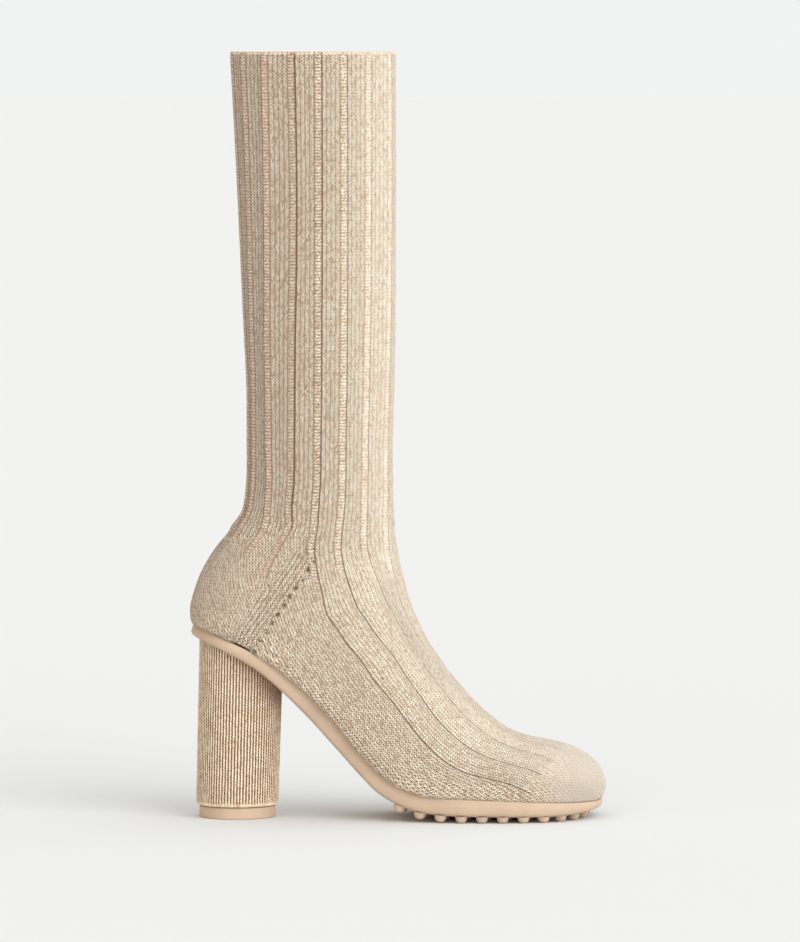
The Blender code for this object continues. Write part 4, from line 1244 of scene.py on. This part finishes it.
def rubber_material():
    """Smooth matte tan rubber."""
    n = material("tan_rubber")
    place = n.place()
    cloud = n.step(n.noise(place, 60.0, 3.0, 0.6), 0.3, 0.7)
    rough = n.step(n.noise(place, 500.0), 0.3, 0.7, 0.5, 0.62)
    grain = n.bump(n.noise(place, 1800.0, 2.0, 0.6), 0.00004, 0.5)
    return finish(n, n.tint(cloud, RUBBER_TAN, darker(RUBBER_TAN, 0.9)), rough, grain, 0.4)


def board_material():
    """Woven cover of the board under the foot."""
    n = material("board_cover")
    grain = n.noise(n.place(), 1400.0, 3.0, 0.6)
    colour = n.tint(grain, BOARD_TAN, darker(BOARD_TAN, 0.75))
    return finish(n, colour, 0.85, n.bump(grain, 0.0002, 0.4))


# The pieces, each shown in place of the node that it dresses

knit = knit_material()
plain = plain_knit_material("plain_knit")
edging = plain_knit_material("collar_edge", GAP_SHADE_STRENGTH * 0.5)
cords = heel_material()
rubber = rubber_material()
board = board_material()
for build, dress, node, slot in (
    (build_outer, knit, "upper", "knit"),
    (build_lining, plain, "upper", "knit"),
    (build_rim, edging, "upper", "knit"),
    (build_sole, rubber, "outsole", "rubber"),
    (build_studs, rubber, "outsole", "rubber"),
    (build_board, board, "insole", "board"),
    (build_heel_cover, cords, "heel", "heel_knit"),
    (build_lift, rubber, "top_piece", "rubber"),
):
    piece = build()
    piece.data.materials.append(dress)
    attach(piece, "root")
    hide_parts(node)


# Floor, light and camera

PIXEL = 0.0005093  # metres of the boot's middle plane in one pixel of the picture
CAMERA_FAR = 3.7
CAMERA_HIGH = 0.390
HEEL_PIXEL = 237  # across the picture to the heel's middle
GROUND_PIXEL = 817.5  # down the picture to the ground under the boot's middle plane
WIDE, TALL = 800, 942
SENSOR = 36.0
BACKDROP = (0.879, 0.896, 0.888, 1)
FLOOR_PALE = 0.7317
FRONT_LIGHT = 0.80
SIDE_LIGHT = 0.62
WARM_SIDE = (0.95, 0.85, 0.72, 1)  # light from the left, off the boot's own warm side
KEY_ENERGY = 1.33
KEY_SPREAD = 50  # degrees
KEY_FROM = (0.62, -0.72, 0.42)
FLOOR_HALF = 60.0


def build_world():
    """A pale room, brighter to the right and in front of the boot."""
    world = bpy.data.worlds.new("studio")
    bpy.context.scene.world = world
    n = Nodes(world)
    x, y = n.parts(n.made("TexCoord", {}, "Generated"))
    sideways = x * n.math("ABSOLUTE", x) * SIDE_LIGHT
    ahead = n.math("MAXIMUM", y * -1.0, 0.0) * FRONT_LIGHT
    colour = n.tint(n.step(x, -0.15, -0.8), BACKDROP, WARM_SIDE)
    light = n.made("Background", {"Color": colour, "Strength": sideways + 1.0 + ahead})
    n.put(n.node("OutputWorld").inputs["Surface"], light)


def build_floor():
    """A wide pale floor."""
    bpy.ops.mesh.primitive_plane_add(size=2 * FLOOR_HALF)
    floor = bpy.context.object
    floor.name = "floor"
    pale = (FLOOR_PALE, FLOOR_PALE * 1.01, FLOOR_PALE * 1.02, 1)
    floor.data.materials.append(finish(material("floor"), pale, 0.9, None, 0.0))
    return floor


def build_key():
    """Broad soft light from the right, above and in front."""
    light = bpy.data.lights.new("key", "SUN")
    light.energy = KEY_ENERGY
    light.angle = math.radians(KEY_SPREAD)
    key = bpy.data.objects.new("key", light)
    bpy.context.scene.collection.objects.link(key)
    key.rotation_euler = mathutils.Vector(KEY_FROM).to_track_quat("Z", "Y").to_euler()


def build_camera():
    """A long lens at the picture's own distance and height, aimed at the boot's middle."""
    data = bpy.data.cameras.new("camera")
    camera = bpy.data.objects.new("camera", data)
    bpy.context.scene.collection.objects.link(camera)
    middle_x = (WIDE / 2 - HEEL_PIXEL) * PIXEL
    down = CAMERA_HIGH - (GROUND_PIXEL - TALL / 2) * PIXEL
    data.sensor_fit = "HORIZONTAL"
    data.sensor_width = SENSOR
    data.lens = SENSOR * math.hypot(CAMERA_FAR, down) / (WIDE * PIXEL)
    data.clip_end = 3 * FLOOR_HALF
    camera.location = (middle_x, -CAMERA_FAR, CAMERA_HIGH)
    camera.rotation_euler = (math.pi / 2 - math.atan2(down, CAMERA_FAR), 0, 0)
    bpy.context.scene.camera = camera


build_world()
build_key()
build_camera()
build_floor()
bpy.context.scene.view_settings.view_transform = "Standard"
